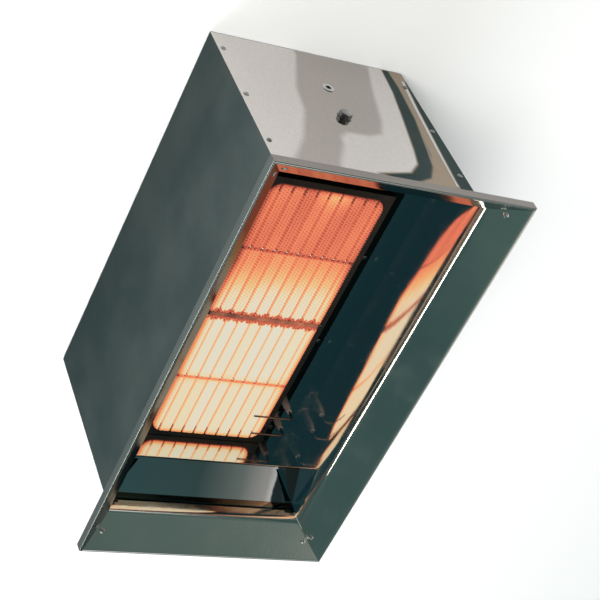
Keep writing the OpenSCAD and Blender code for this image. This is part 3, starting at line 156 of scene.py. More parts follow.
def put_mesh(name, points, quads, extra=(), angle=35.0, smooth=True):
    """A mesh object from arrays of points and quads, smooth below an angle, at the origin."""
    mesh = bpy.data.meshes.new(name)
    faces = [list(map(int, q)) for q in quads] if len(extra) else None
    if faces is None:
        mesh.vertices.add(len(points))
        mesh.vertices.foreach_set("co", np.asarray(points, np.float32).ravel())
        mesh.loops.add(quads.size)
        mesh.loops.foreach_set("vertex_index", quads.astype(np.int32).ravel())
        mesh.polygons.add(len(quads))
        mesh.polygons.foreach_set("loop_start", np.arange(0, quads.size, 4, dtype=np.int32))
    else:
        mesh.from_pydata([tuple(p) for p in points.tolist()], [], faces + [list(map(int, f)) for f in extra])
    mesh.update(calc_edges=True)
    mesh.validate()
    mesh.polygons.foreach_set("use_smooth", np.full(len(mesh.polygons), smooth))
    if smooth:
        mesh.set_sharp_from_angle(angle=math.radians(angle))
    obj = bpy.data.objects.new(name, mesh)
    bpy.context.scene.collection.objects.link(obj)
    return obj


def add_value(obj, name, values):
    """Stores one number for each point of the piece, for its material."""
    layer = obj.data.attributes.new(name, "FLOAT", "POINT")
    layer.data.foreach_set("value", np.asarray(values, np.float32))


def corner_arc(p, before, after, r, steps):
    """Arc of radius r in the corner p: p - a r tan(t/2) turned about the centre by t."""
    turn = math.atan2(before[0] * after[1] - before[1] * after[0], float(before @ after))
    start = p - before * r * math.tan(abs(turn) / 2)
    centre = start + math.copysign(r, turn) * np.array([-before[1], before[0]])
    t = np.linspace(0, turn, steps + 1)[:, None]
    d = start - centre
    side = np.array([-d[1], d[0]])
    return centre + np.cos(t) * d + np.sin(t) * side


def folded(points, radii, steps, longest):
    """A path through points with rounded corners, its straight runs cut no longer than longest."""
    p = [np.array(q, float) for q in points]
    parts = [p[0][None, :]]
    for i in range(1, len(p) - 1):
        a = (p[i] - p[i - 1]) / np.linalg.norm(p[i] - p[i - 1])
        b = (p[i + 1] - p[i]) / np.linalg.norm(p[i + 1] - p[i])
        parts.append(corner_arc(p[i], a, b, radii[i - 1], steps))
    parts.append(p[-1][None, :])
    out = [parts[0]]
    for piece in parts[1:]:
        gap = piece[0] - out[-1][-1]
        n = max(1, int(math.ceil(np.linalg.norm(gap) / longest)))
        out.append(out[-1][-1] + gap * (np.arange(1, n) / n)[:, None])
        out.append(piece)
    return np.vstack(out)


def beside(path, t):
    """The path moved a distance t to its left: each point goes t / cos(half turn) along the mean normal."""
    d = np.diff(path, axis=0)
    d /= np.linalg.norm(d, axis=1)[:, None]
    n = np.stack([-d[:, 1], d[:, 0]], axis=1)
    before = np.vstack([n[:1], n])
    after = np.vstack([n, n[-1:]])
    m = before + after
    m /= np.linalg.norm(m, axis=1)[:, None]
    return path + m * (t / (m * before).sum(1))[:, None]


# ---------------------------------------------------------------- shader helpers


FINISH = {}


class Shader:
    """A material with a Principled shader and short calls to place and link nodes."""

    def __init__(self, name, **sockets):
        self.mat = FINISH[name] = bpy.data.materials.new(name)
        self.mat.use_nodes = True
        self.tree = self.mat.node_tree
        self.tree.nodes.clear()
        self.out = self.node("ShaderNodeOutputMaterial")
        self.bsdf = self.node("ShaderNodeBsdfPrincipled")
        self.link(self.bsdf.outputs[0], self.out.inputs["Surface"])
        self.coords = self.node("ShaderNodeTexCoord").outputs["Object"]
        for key, value in sockets.items():
            self.bsdf.inputs[key.replace("_", " ")].default_value = value

    def node(self, kind, **values):
        made = self.tree.nodes.new(kind)
        for key, value in values.items():
            setattr(made, key, value)
        return made

    def link(self, a, b):
        self.tree.links.new(a, b)

    def group(self, tree, **values):
        made = self.node("ShaderNodeGroup")
        made.node_tree = tree
        for key, value in values.items():
            made.inputs[key.replace("_", " ")].default_value = value
        self.link(self.coords, made.inputs["Vector"])
        return made

    def ramp(self, factor, stops):
        made = self.node("ShaderNodeValToRGB")
        fill_ramp(made.color_ramp, stops)
        self.link(factor, made.inputs[0])
        return made.outputs[0]

    def span(self, value, low, high, lowest=0.0, highest=1.0):
        made = self.node("ShaderNodeMapRange")
        for i, number in zip((1, 2, 3, 4), (low, high, lowest, highest)):
            made.inputs[i].default_value = number
        self.link(value, made.inputs[0])
        return made.outputs[0]

    def mix(self, factor, a, b, blend="MIX"):
        made = self.node("ShaderNodeMix", data_type="RGBA", blend_type=blend)
        for socket, value in ((made.inputs[0], factor), (made.inputs[6], a), (made.inputs[7], b)):
            if hasattr(value, "links"):
                self.link(value, socket)
            elif isinstance(value, (int, float)):
                socket.default_value = value
            else:
                socket.default_value = (*value, 1.0)
        return made.outputs[2]

    def attribute(self, name):
        return self.node("ShaderNodeAttribute", attribute_name=name).outputs["Fac"]

    def bump(self, height, strength, distance):
        made = self.node("ShaderNodeBump")
        made.inputs["Strength"].default_value = strength
        made.inputs["Distance"].default_value = distance
        self.link(height, made.inputs["Height"])
        self.link(made.outputs[0], self.bsdf.inputs["Normal"])
        return made

    def set(self, name, value):
        self.link(value, self.bsdf.inputs[name])


def fill_ramp(ramp, stops):
    """Sets a colour ramp to the given (place, colour) stops."""
    while len(ramp.elements) > len(stops):
        ramp.elements.remove(ramp.elements[-1])
    while len(ramp.elements) < len(stops):
        ramp.elements.new(1.0)
    for element, (place, colour) in zip(ramp.elements, stops):
        element.position = place
        element.color = (*colour, 1.0)


def new_group(name, inputs, outputs):
    """An empty shader node group with a Vector input, named number inputs and outputs."""
    tree = bpy.data.node_groups.new(name, "ShaderNodeTree")
    tree.interface.new_socket("Vector", in_out="INPUT", socket_type="NodeSocketVector")
    for label, value in inputs:
        tree.interface.new_socket(label, in_out="INPUT", socket_type="NodeSocketFloat").default_value = value
    for label, kind in outputs:
        tree.interface.new_socket(label, in_out="OUTPUT", socket_type=kind)
    return tree, tree.nodes.new("NodeGroupInput"), tree.nodes.new("NodeGroupOutput")


def noise_in(tree, vector, scale, detail=2.0, rough=0.5):
    """A noise texture inside a group, read at vector; scale is a number or a socket."""
    made = tree.nodes.new("ShaderNodeTexNoise")
    made.inputs["Detail"].default_value = detail
    made.inputs["Roughness"].default_value = rough
    tree.links.new(vector, made.inputs["Vector"])
    if hasattr(scale, "links"):
        tree.links.new(scale, made.inputs["Scale"])
    else:
        made.inputs["Scale"].default_value = scale
    return made.outputs["Fac"]


def math_in(tree, kind, a, b):
    """A Math node inside a group."""
    made = tree.nodes.new("ShaderNodeMath")
    made.operation = kind
    for socket, value in zip(made.inputs, (a, b)):
        if hasattr(value, "links"):
            tree.links.new(value, socket)
        else:
            socket.default_value = value
    return made.outputs[0]


def sheet_ripple_group():
    """Slow waves and fine scratches of thin polished sheet, and a mask of handling marks."""
    tree, ins, outs = new_group(
        "Sheet Ripple",
        [("Wave Scale", 7.0), ("Scratch Scale", 260.0), ("Scratch Share", 0.02)],
        [("Height", "NodeSocketFloat"), ("Marks", "NodeSocketFloat")],
    )
    wave = noise_in(tree, ins.outputs["Vector"], ins.outputs["Wave Scale"], 1.0)
    stretch = tree.nodes.new("ShaderNodeMapping")
    stretch.inputs["Scale"].default_value = (0.06, 1.0, 1.0)
    tree.links.new(ins.outputs["Vector"], stretch.inputs["Vector"])
    scratch = noise_in(tree, stretch.outputs[0], ins.outputs["Scratch Scale"], 3.0, 0.7)
    fine = math_in(tree, "MULTIPLY", scratch, ins.outputs["Scratch Share"])
    tree.links.new(math_in(tree, "ADD", wave, fine), outs.inputs["Height"])
    marks = noise_in(tree, ins.outputs["Vector"], 24.0, 5.0, 0.62)
    tree.links.new(marks, outs.inputs["Marks"])
    return tree


def speckle_group():
    """Fine grain and slow blotches of a rough or dusty surface."""
    tree, ins, outs = new_group(
        "Speckle",
        [("Grain Scale", 900.0), ("Blotch Scale", 30.0)],
        [("Grain", "NodeSocketFloat"), ("Blotch", "NodeSocketFloat")],
    )
    tree.links.new(noise_in(tree, ins.outputs["Vector"], ins.outputs["Grain Scale"], 3.0, 0.7), outs.inputs["Grain"])
    tree.links.new(noise_in(tree, ins.outputs["Vector"], ins.outputs["Blotch Scale"], 4.0, 0.6), outs.inputs["Blotch"])
    return tree


def heat_tint_group():
    """Straw, brown and blue bands that heat leaves on steel, as a colour."""
    tree, ins, outs = new_group("Heat Tint", [("Tint Scale", 16.0)], [("Colour", "NodeSocketColor")])
    band = noise_in(tree, ins.outputs["Vector"], ins.outputs["Tint Scale"], 3.0, 0.55)
    ramp = tree.nodes.new("ShaderNodeValToRGB")
    fill_ramp(
        ramp.color_ramp,
        [
            (0.30, (0.030, 0.045, 0.050)),
            (0.45, (0.055, 0.050, 0.045)),
            (0.55, (0.075, 0.050, 0.035)),
            (0.64, (0.040, 0.042, 0.050)),
            (0.75, (0.025, 0.045, 0.052)),
        ],
    )
    tree.links.new(band, ramp.inputs[0])
    tree.links.new(ramp.outputs[0], outs.inputs["Colour"])
    return tree


# ---------------------------------------------------------------- finishes


def polished_sheet(
    name, tint, deep, wave=7.0, wave_depth=0.0012, rough=(0.05, 0.16), inside=None, reflection_tones=None, painted_glow=None, edge=1.0
):
    """Polished stainless sheet: a metal with waves, scratches and marks.

    Its colour drifts from tint to deep, or follows the painted reflection tones stored on the surface. inside is the
    colour of the inner face, the glow colour a faint painted glow on it, and edge the strength of the metal's
    reflection at a glancing angle."""
    s = Shader(name, Metallic=1.0, Specular_Tint=(edge, edge, edge, 1.0))
    sheet = s.group(FINISH["Sheet Ripple"], Wave_Scale=wave)
    grain = s.group(FINISH["Speckle"], Grain_Scale=520.0, Blotch_Scale=9.0)
    blotch = grain.outputs["Blotch"]
    # the end sheets' outer colour follows the tones of their painted reflections
    if reflection_tones:
        colour = s.mix(s.span(blotch, 0.3, 0.7, 0.0, 0.03), s.ramp(s.attribute("reflection_tone"), reflection_tones), deep)
    else:
        colour = s.mix(s.span(blotch, 0.38, 0.62), tint, deep)
    speck = s.span(grain.outputs["Grain"], 0.35, 0.65, 0.0, 0.45)
    colour = s.mix(speck, colour, deep, "MULTIPLY" if reflection_tones else "MIX")
    # the inner face takes its own brighter colour, and the outer face keeps its painted reflection colour
    if inside:
        colour = s.mix(s.attribute("inside"), colour, inside)
    # a faint painted glow on the inner face that lifts its dark reflections
    if painted_glow:
        s.set("Emission Color", s.mix(s.attribute("inside"), (0.0, 0.0, 0.0), painted_glow))
        s.bsdf.inputs["Emission Strength"].default_value = 1.0
    s.set("Base Color", colour)
    s.set("Roughness", s.span(sheet.outputs["Marks"], 0.35, 0.7, *rough))
    s.bump(sheet.outputs["Height"], 1.0, wave_depth)
    return s.mat


def end_mirror(name):
    """The reflector's finish: a clean mirror low down and, on its ledge, a painted reflection that runs from dark to
    silver and a bright edge, then dark again towards one side wall.
    """
    s = Shader(name, Metallic=1.0)
    sheet = s.group(FINISH["Sheet Ripple"], Wave_Scale=9.0)
    split = s.node("ShaderNodeSeparateXYZ")
    s.link(s.coords, split.inputs[0])
    wander = s.node("ShaderNodeMath", operation="MULTIPLY_ADD")
    s.link(sheet.outputs["Marks"], wander.inputs[0])
    wander.inputs[1].default_value = 0.012
    s.link(split.outputs["Y"], wander.inputs[2])
    along = s.span(wander.outputs[0], -0.10, 0.15)
    # colours of the painted reflection across the ledge: dark, grey, silver, a painted bright highlight at 0.795, then
    # painted dark
    dark = (0.030, 0.070, 0.074)
    stops = [
        (0.0, dark),
        (0.40, (0.042, 0.078, 0.078)),
        (0.62, (0.16, 0.19, 0.175)),
        (0.76, (0.42, 0.40, 0.385)),
        (0.795, (0.70, 0.68, 0.66)),
        (0.802, (0.022, 0.036, 0.040)),
        (0.92, (0.018, 0.030, 0.034)),
        (1.0, (0.03, 0.04, 0.042)),
    ]
    low = s.span(split.outputs["Z"], *LEDGE_Z)
    s.set("Base Color", s.mix(low, (0.88, 0.88, 0.85), s.ramp(along, stops)))
    s.set("Roughness", s.span(sheet.outputs["Marks"], 0.35, 0.7, 0.04, 0.14))
    s.bump(sheet.outputs["Height"], 1.0, 0.0006)
    return s.mat


def plain_metal(name, tint, deep, rough=(0.22, 0.42), scale=60.0, depth=0.00004):
    """Plated or machined metal with a slow tint and a fine grain."""
    s = Shader(name, Metallic=1.0)
    grain = s.group(FINISH["Speckle"], Grain_Scale=1400.0, Blotch_Scale=scale)
    s.set("Base Color", s.mix(s.span(grain.outputs["Blotch"], 0.35, 0.65), tint, deep))
    s.set("Roughness", s.span(grain.outputs["Blotch"], 0.3, 0.7, *rough))
    s.bump(grain.outputs["Grain"], 0.5, depth)
    return s.mat


def moulded(name, tint, deep, rough=(0.42, 0.6), depth=0.00006, coat=0.0):
    """Moulded plastic, rubber or fibre with fine grain."""
    s = Shader(name, Metallic=0.0, Coat_Weight=coat)
    grain = s.group(FINISH["Speckle"], Grain_Scale=1800.0, Blotch_Scale=40.0)
    s.set("Base Color", s.mix(s.span(grain.outputs["Blotch"], 0.35, 0.65), tint, deep))
    s.set("Roughness", s.span(grain.outputs["Grain"], 0.3, 0.7, *rough))
    s.bump(grain.outputs["Grain"], 0.6, depth)
    return s.mat


def heat_steel(name):
    """Burner steel with heat tints and a dull grain."""
    s = Shader(name, Metallic=1.0)
    tint = s.group(FINISH["Heat Tint"])
    grain = s.group(FINISH["Speckle"], Grain_Scale=900.0, Blotch_Scale=45.0)
    speck = s.span(grain.outputs["Grain"], 0.3, 0.75, 0.0, 0.4)
    s.set("Base Color", s.mix(speck, tint.outputs["Colour"], (0.05, 0.05, 0.05)))
    s.set("Roughness", s.span(grain.outputs["Blotch"], 0.3, 0.7, 0.28, 0.5))
    s.bump(grain.outputs["Grain"], 0.5, 0.00005)
    return s.mat


def glowing_plaque(name, glow):
    """Glowing ceramic: the heat stored on the surface picks the colour from dark red to cream."""
    s = Shader(name, Roughness=0.9)
    heat = s.attribute("warmth")
    grain = s.group(FINISH["Speckle"], Grain_Scale=700.0, Blotch_Scale=55.0)
    uneven = s.node("ShaderNodeMath", operation="ADD")
    s.link(heat, uneven.inputs[0])
    s.link(s.span(grain.outputs["Grain"], 0.2, 0.8, -0.10, 0.10), uneven.inputs[1])
    colour = s.ramp(
        uneven.outputs[0],
        [
            (0.00, (0.012, 0.003, 0.002)),
            (0.16, (0.20, 0.022, 0.012)),
            (0.34, (0.68, 0.12, 0.062)),
            (0.50, (0.87, 0.235, 0.105)),
            (0.64, (0.83, 0.40, 0.145)),
            (0.78, (0.80, 0.55, 0.25)),
            (0.90, (0.76, 0.69, 0.47)),
            (1.00, (0.71, 0.70, 0.58)),
        ],
    )
    s.set("Emission Color", colour)
    s.bsdf.inputs["Emission Strength"].default_value = glow
    s.set("Base Color", s.mix(grain.outputs["Blotch"], (0.045, 0.024, 0.018), (0.075, 0.038, 0.026)))
    s.bump(grain.outputs["Grain"], 0.4, 0.00008)
    return s.mat


class HEATER_OT_finishes(bpy.types.Operator):
    """Makes the node groups and the material of every finish."""

    bl_idname = "heater.finishes"
    bl_label = "Make Finishes"

    def execute(self, context):
        for tree in (sheet_ripple_group(), speckle_group(), heat_tint_group()):
            FINISH[tree.name] = tree
        # One polished steel in several colours: the dark teal outer faces of the side sheets, lighter on the left, and
        # the silver of the end sheets are painted reflections, while the inner faces are brighter so that they mirror
        # the burner
        polished_sheet(
            "side_steel",
            (0.050, 0.076, 0.073),
            (0.030, 0.048, 0.047),
            inside=(1.0, 0.87, 0.75),
            painted_glow=(0.006, 0.023, 0.028),
        )
        polished_sheet(
            "left_steel",
            (0.108, 0.130, 0.127),
            (0.082, 0.104, 0.104),
            rough=(0.08, 0.26),
            inside=(0.45, 0.44, 0.42),
            edge=0.3,
        )
        # Tones of the end walls' painted reflections, 0 silver to 1 dark; 0.48 is the painted grey band along the root
        reflection_tones = [
            (0.0, (0.72, 0.68, 0.66)),
            (0.35, (0.46, 0.42, 0.395)),
            (0.48, (0.21, 0.18, 0.17)),
            (0.6, (0.37, 0.29, 0.215)),
            (1.0, (0.018, 0.042, 0.042)),
        ]
        polished_sheet(
            "end_steel", None, (0.72, 0.72, 0.72), 5.0, 0.002, inside=(0.80, 0.80, 0.77), reflection_tones=reflection_tones, edge=0.7
        )
        polished_sheet("tray_steel", (0.017, 0.027, 0.029), (0.010, 0.017, 0.019), 9.0, 0.0008, (0.12, 0.28))
        end_mirror("mirror_steel")
        plain_metal("bright_zinc", (0.66, 0.66, 0.64), (0.48, 0.49, 0.48))
        plain_metal("zinc_sheet", (0.50, 0.52, 0.52), (0.36, 0.38, 0.39), (0.3, 0.5), 40.0)
        plain_metal("turned_brass", (0.72, 0.52, 0.22), (0.55, 0.38, 0.15), (0.2, 0.38))
        plain_metal("cast_alloy", (0.56, 0.56, 0.58), (0.42, 0.42, 0.44), (0.4, 0.6), 80.0, 0.00012)
        plain_metal("hot_wire", (0.42, 0.22, 0.15), (0.22, 0.11, 0.08), (0.3, 0.5), 120.0)
        # a darker zinc for the bolts, washers and rivets
        plain_metal("darker_zinc", (0.36, 0.36, 0.35), (0.16, 0.16, 0.16), (0.3, 0.5))
        plain_metal("dull_zinc", (0.10, 0.11, 0.11), (0.06, 0.07, 0.07), (0.35, 0.55))
        heat_steel("tinted_steel")
        glowing_plaque("glowing_plaque", context.scene.heater_burner.glow)
        moulded("seam_fibre", (0.42, 0.13, 0.07), (0.14, 0.05, 0.035), (0.8, 0.95), 0.0004)
        moulded("white_fibre", (0.80, 0.78, 0.72), (0.66, 0.63, 0.56), (0.8, 0.95), 0.0003)
        moulded("black_moulding", (0.030, 0.030, 0.033), (0.050, 0.050, 0.053))
        moulded("black_rubber", (0.020, 0.020, 0.020), (0.035, 0.034, 0.033), (0.6, 0.8))
        moulded("grey_moulding", (0.60, 0.60, 0.58), (0.68, 0.68, 0.66))
        moulded("glazed_ceramic", (0.20, 0.15, 0.12), (0.10, 0.075, 0.065), (0.18, 0.35), 0.00002, 0.4)
        moulded("silicone_lead", (0.42, 0.03, 0.02), (0.32, 0.02, 0.015), (0.35, 0.5))
        return {"FINISHED"}


def dress(obj, finish):
    """Gives a piece one finish in all its material slots."""
    obj.data.materials.clear()
    obj.data.materials.append(FINISH[finish])


# ---------------------------------------------------------------- housing


def panel_loop(half, size, step):
    """Closed section of a panel: fold, wall, flare and lip, then the same path one sheet inwards.

    Returns points (distance from the middle, height) and 1 for those on the inner face."""
    t = size.sheet
    rim = size.root + size.flare_rise
    edge = half + size.flare_run
    path = folded(
        [(half - size.fold, t), (half, t), (half, size.root), (edge, rim), (edge, rim - size.lip)],
        [0.0025, 0.012, 0.0008],
        9,
        step,
    )
    inner = beside(path, t)
    loop = np.vstack([path, inner[::-1]])
    # past the rim the inner face keeps only RIM_SHARE of its colour: painted shade on the lip
    past_rim = smooth_step((inner[:, 0] - edge - 0.0002) / 0.0006)
    return loop, np.concatenate([np.zeros(len(path)), (1 - (1 - RIM_SHARE) * past_rim)[::-1]])


# Painted reflections of the end walls, one row per shape: the tone it paints (0 silver, 1 dark), its softness and its
# outline as shares across the wall and up to the root. The 0.00 row is a painted white highlight line and the last row
# a painted dark strip along one edge.
PAINTED_REFLECTIONS = (
    (0.35, 0.020, ((0.43, -0.1), (0.42, 0.05), (0.32, 0.33), (0.30, 0.5), (0.21, 0.73), (0.10, 0.91), (0.06, 1.1),
                   (0.28, 1.1), (0.345, 0.85), (0.41, 0.72), (0.42, 0.66), (0.47, 0.615), (0.58, 0.61), (0.66, 0.575),
                   (0.70, 0.48), (0.76, 0.21), (0.82, 0.0), (0.83, -0.1))),
    (0.60, 0.016, ((0.93, -0.1), (0.925, 0.06), (0.905, 0.40), (0.87, 0.66), (0.80, 0.84), (0.66, 0.92), (0.50, 0.96),
                   (0.30, 1.1), (1.2, 1.1), (1.2, -0.1))),
    (1.00, 0.008, ((0.90, -0.1), (0.875, 0.20), (0.836, 0.42), (0.79, 0.66), (0.765, 0.76), (0.70, 0.835),
                   (0.60, 0.862), (0.51, 0.885), (0.60, 0.902), (0.72, 0.895), (0.80, 0.85), (0.845, 0.76),
                   (0.872, 0.64), (0.912, 0.40), (0.93, 0.15), (0.925, -0.1))),
    (0.00, 0.006, ((0.972, 0.08), (0.951, 0.30), (0.930, 0.60), (0.916, 0.88), (0.940, 0.88), (0.955, 0.60),
                   (0.972, 0.30), (0.988, 0.08))),
    (1.00, 0.006, ((0.992, 0.08), (0.968, 0.30), (0.945, 0.60), (0.928, 0.84), (0.930, 0.93), (1.2, 0.93),
                   (1.2, 0.08))),
)


def within(x, y, corners, soft):
    """Soft share inside a closed outline: half plus the signed distance to its nearest edge over soft."""
    inside = np.zeros(x.shape, bool)
    near = np.full(x.shape, 9.0)
    for (ax, ay), (bx, by) in zip(corners, corners[1:] + corners[:1]):
        dx, dy = bx - ax, by - ay
        u = np.clip(((x - ax) * dx + (y - ay) * dy) / (dx * dx + dy * dy), 0, 1)
        near = np.minimum(near, np.hypot(x - ax - u * dx, y - ay - u * dy))
        crosses = (ay > y) != (by > y)
        inside ^= crosses & (x < ax + (y - ay) / (dy if dy else 1.0) * dx)
    return smooth_step(np.where(inside, near, -near) / soft + 0.5)


def painted_reflection_tone(s, t):
    """Painted reflection on the polished end wall, as a tone from 0 silver to 1 dark, s being the share across and t up
    to the flare's root: soft closed outlines of painted reflection laid over one another, and a painted grey band along
    the root."""
    reflection_tone = np.zeros(s.shape)
    for value, soft, corners in PAINTED_REFLECTIONS:
        share = within(s, t, corners, soft * (1 + 1.5 * t))
        reflection_tone = reflection_tone * (1 - share) + value * share
    # painted grey reflection band along the flare's root
    root = smooth_step((t - 0.93) / 0.05)
    return np.maximum(reflection_tone * (1 - root), ROOT_REFLECTION_TONE * root)


BOW = ((-0.245, -0.238, -0.171, -0.076, 0.026, 0.110, 0.158, 0.200, 0.245),
       (0.240, 0.237, 0.2086, 0.1824, 0.2086, 0.2195, 0.2348, 0.246, 0.248))


def bow_sheet(obj, size, steepest=0.297):
    """Turns the inner face's normals as a sheet bows outwards under its flare: the tilt grows evenly from the
    height given by BOW up to the root bend, and fades to nothing across the bend."""
    mesh = obj.data
    n = len(mesh.loops)
    corner = np.empty(n, np.int32)
    mesh.loops.foreach_get("vertex_index", corner)
    normal = np.empty(n * 3, np.float32)
    mesh.corner_normals.foreach_get("vector", normal)
    normal = normal.reshape(-1, 3).astype(float)
    co = np.empty(len(mesh.vertices) * 3, np.float32)
    mesh.vertices.foreach_get("co", co)
    co = co.reshape(-1, 3)[corner]
    start = np.interp(co[:, 0], *BOW)
    root = size.root - 0.0055
    tilt = steepest * np.clip((co[:, 2] - start) / (root - start), 0, 1) * (1 - smooth_step((co[:, 2] - root) / 0.008))
    faces_in = normal[:, 1] * co[:, 1] < -1e-4
    tilt = np.where(faces_in & (np.abs(normal[:, 0]) < 0.1), tilt, 0)
    side = np.stack([0 * tilt, -normal[:, 2] * np.sign(normal[:, 1]), np.abs(normal[:, 1])], axis=1)
    turned = normal * np.cos(tilt)[:, None] + side * np.sin(tilt)[:, None]
    mesh.normals_split_custom_set(turned.tolist())


def panel(name, across, half, other, size, finish, replaced):
    """A panel as its section carried across the housing: the half-length at distance u from the middle
    is u + (other - half), less the mitre gap, so that neighbours meet on the diagonal."""
    sign = -1.0 if across in ("left", "plain") else 1.0
    along_x = across in ("left", "right")
    kind = 0 if along_x else 1
    loop, inside = panel_loop(half, size, SECTION_STEP[kind])
    reach = loop[:, 0] + (other - half) - size.mitre
    v = np.linspace(-1.0, 1.0, CUTS[kind])[:, None]
    run = v * reach[None, :]
    out = np.broadcast_to(loop[None, :, 0] * sign, run.shape)
    up = np.broadcast_to(loop[None, :, 1], run.shape)
    parts = (run, out, up) if along_x else (out, run, up)
    points = np.stack(parts, axis=-1).reshape(-1, 3)
    n = loop.shape[0]
    quads = grid_quads(len(v), n, wrap=True)
    caps = [np.arange(n)[::-1], np.arange(n) + (len(v) - 1) * n]
    half_n = n // 2
    k = np.arange(half_n - 1)
    first = np.stack([k, k + 1, n - 2 - k, n - 1 - k], axis=1)
    last = first[:, ::-1] + (len(v) - 1) * n
    quads = np.vstack([quads, first, last])
    flip = (sign > 0) != along_x
    if flip:
        quads = quads[:, ::-1]
    obj = put_mesh(name, points, quads)
    obj_fix(obj)
    add_value(obj, "inside", np.tile(inside, len(v)))
    # the end panels carry the tones of their painted reflections
    if not along_x:
        across_wall = (v * reach[None, :] / other + 1) / 2
        add_value(obj, "reflection_tone", painted_reflection_tone(across_wall, up / size.root).ravel())
    if across == "right":
        bow_sheet(obj, size)
    dress(obj, finish)
    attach(obj, BODY)
    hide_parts(replaced)
    return obj


def obj_fix(obj):
    """Turns a closed mesh the right way out."""
    bm = bmesh.new()
    bm.from_mesh(obj.data)
    bmesh.ops.recalc_face_normals(bm, faces=bm.faces)
    bm.to_mesh(obj.data)
    bm.free()


def bore_panel(obj, bores):
    """Drills round holes (centre, radius) along X through an end panel with boolean cutters."""
    for centre, radius in bores:
        angle = np.linspace(0, 2 * math.pi, 49)[:-1]
        ring = np.stack([np.zeros(48), radius * np.cos(angle), radius * np.sin(angle)], axis=1) + np.array(centre)
        points = np.vstack([ring - [0.006, 0, 0], ring + [0.006, 0, 0]])
        k = np.arange(48)
        quads = np.stack([k, (k + 1) % 48, (k + 1) % 48 + 48, k + 48], axis=1)
        cutter = put_mesh("cutter", points, quads, extra=[list(range(47, -1, -1)), list(range(48, 96))])
        obj_fix(cutter)
        cut = obj.modifiers.new("bore", "BOOLEAN")
        cut.object = cutter
        cut.solver = "EXACT"
        graph = bpy.context.evaluated_depsgraph_get()
        mesh = bpy.data.meshes.new_from_object(obj.evaluated_get(graph))
        obj.modifiers.clear()
        old = obj.data
        obj.data = mesh
        bpy.data.meshes.remove(old)
        bpy.data.objects.remove(cutter)
        mesh.set_sharp_from_angle(angle=math.radians(35))


class HEATER_OT_housing(bpy.types.Operator):
    """Builds the four folded and mitred panels as smooth sheet."""

    bl_idname = "heater.housing"
    bl_label = "Build Housing Panels"

    def execute(self, context):
        size = context.scene.heater_housing
        x, y = size.length / 2, size.width / 2
        panel("left_shell", "left", y, x, size, "left_steel", "left_side_panel")
        panel("right_shell", "right", y, x, size, "side_steel", "right_side_panel")
        plain = panel("plain_end_shell", "plain", x, y, size, "end_steel", "plain_end_panel")
        gas = panel("gas_end_shell", "gas", x, y, size, "end_steel", "gas_end_panel")
        mounts = {m["name"]: m for m in frame["record"]["mounts"]}
        lock_z = mounts["insert_plain_end"]["pos_m"][2]
        bore_panel(plain, [((-x, 0.0, lock_z), INSERT_BORE)])
        inlet, cable = mounts["gas_inlet"]["pos_m"], mounts["cable_entry"]["pos_m"]
        bores = [((0.0, lock_z), INSERT_BORE), (inlet[1:], INLET_BORE), (cable[1:], CABLE_BORE)]
        bore_panel(gas, [((x, *centre), radius) for centre, radius in bores])
        for obj in (plain, gas):
            dress(obj, "end_steel")
        folds = corner_folds(size)
        dress(folds, "side_steel")
        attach(folds, BODY)
        return {"FINISHED"}


def corner_folds(size):
    """The side panels' end folds as four upright slabs, each a box with its long edges cut in steps."""
    x1 = size.length / 2 - size.sheet - 0.0001
    x0 = x1 - size.sheet
    y1 = size.width / 2 - size.sheet / 2
    y0 = size.width / 2 - size.fold
    z = np.linspace(0.0036, size.root - 0.012, 40)
    section = np.array([(x0, y0), (x1, y0), (x1, y1), (x0, y1)])
    points, quads = [], []
    for i, (a, b) in enumerate(((1, 1), (1, -1), (-1, 1), (-1, -1))):
        ring = section * [a, b]
        plan = np.broadcast_to(ring[None], (len(z), 4, 2))
        height = np.broadcast_to(z[:, None, None], (len(z), 4, 1))
        points.append(np.concatenate([plan, height], axis=-1).reshape(-1, 3))
        base = i * len(z) * 4
        quads.append(grid_quads(len(z), 4, wrap=True) + base)
        quads.append(np.array([[0, 1, 2, 3], [3, 2, 1, 0]]) + np.array([[base], [base + (len(z) - 1) * 4]]))
    obj = put_mesh("corner_folds", np.vstack(points), np.vstack(quads))
    obj_fix(obj)
    return obj


# ---------------------------------------------------------------- burner


def inside_rounded(x, y, half_x, half_y, r):
    """Distance inside a rounded rectangle: r less the length of (|p| - half + r, floored at 0), or the nearest side."""
    dx, dy = np.abs(x) - half_x + r, np.abs(y) - half_y + r
    corner = r - np.hypot(np.maximum(dx, 0), np.maximum(dy, 0))
    return np.where((dx > 0) & (dy > 0), corner, np.minimum(half_x - np.abs(x), half_y - np.abs(y)))


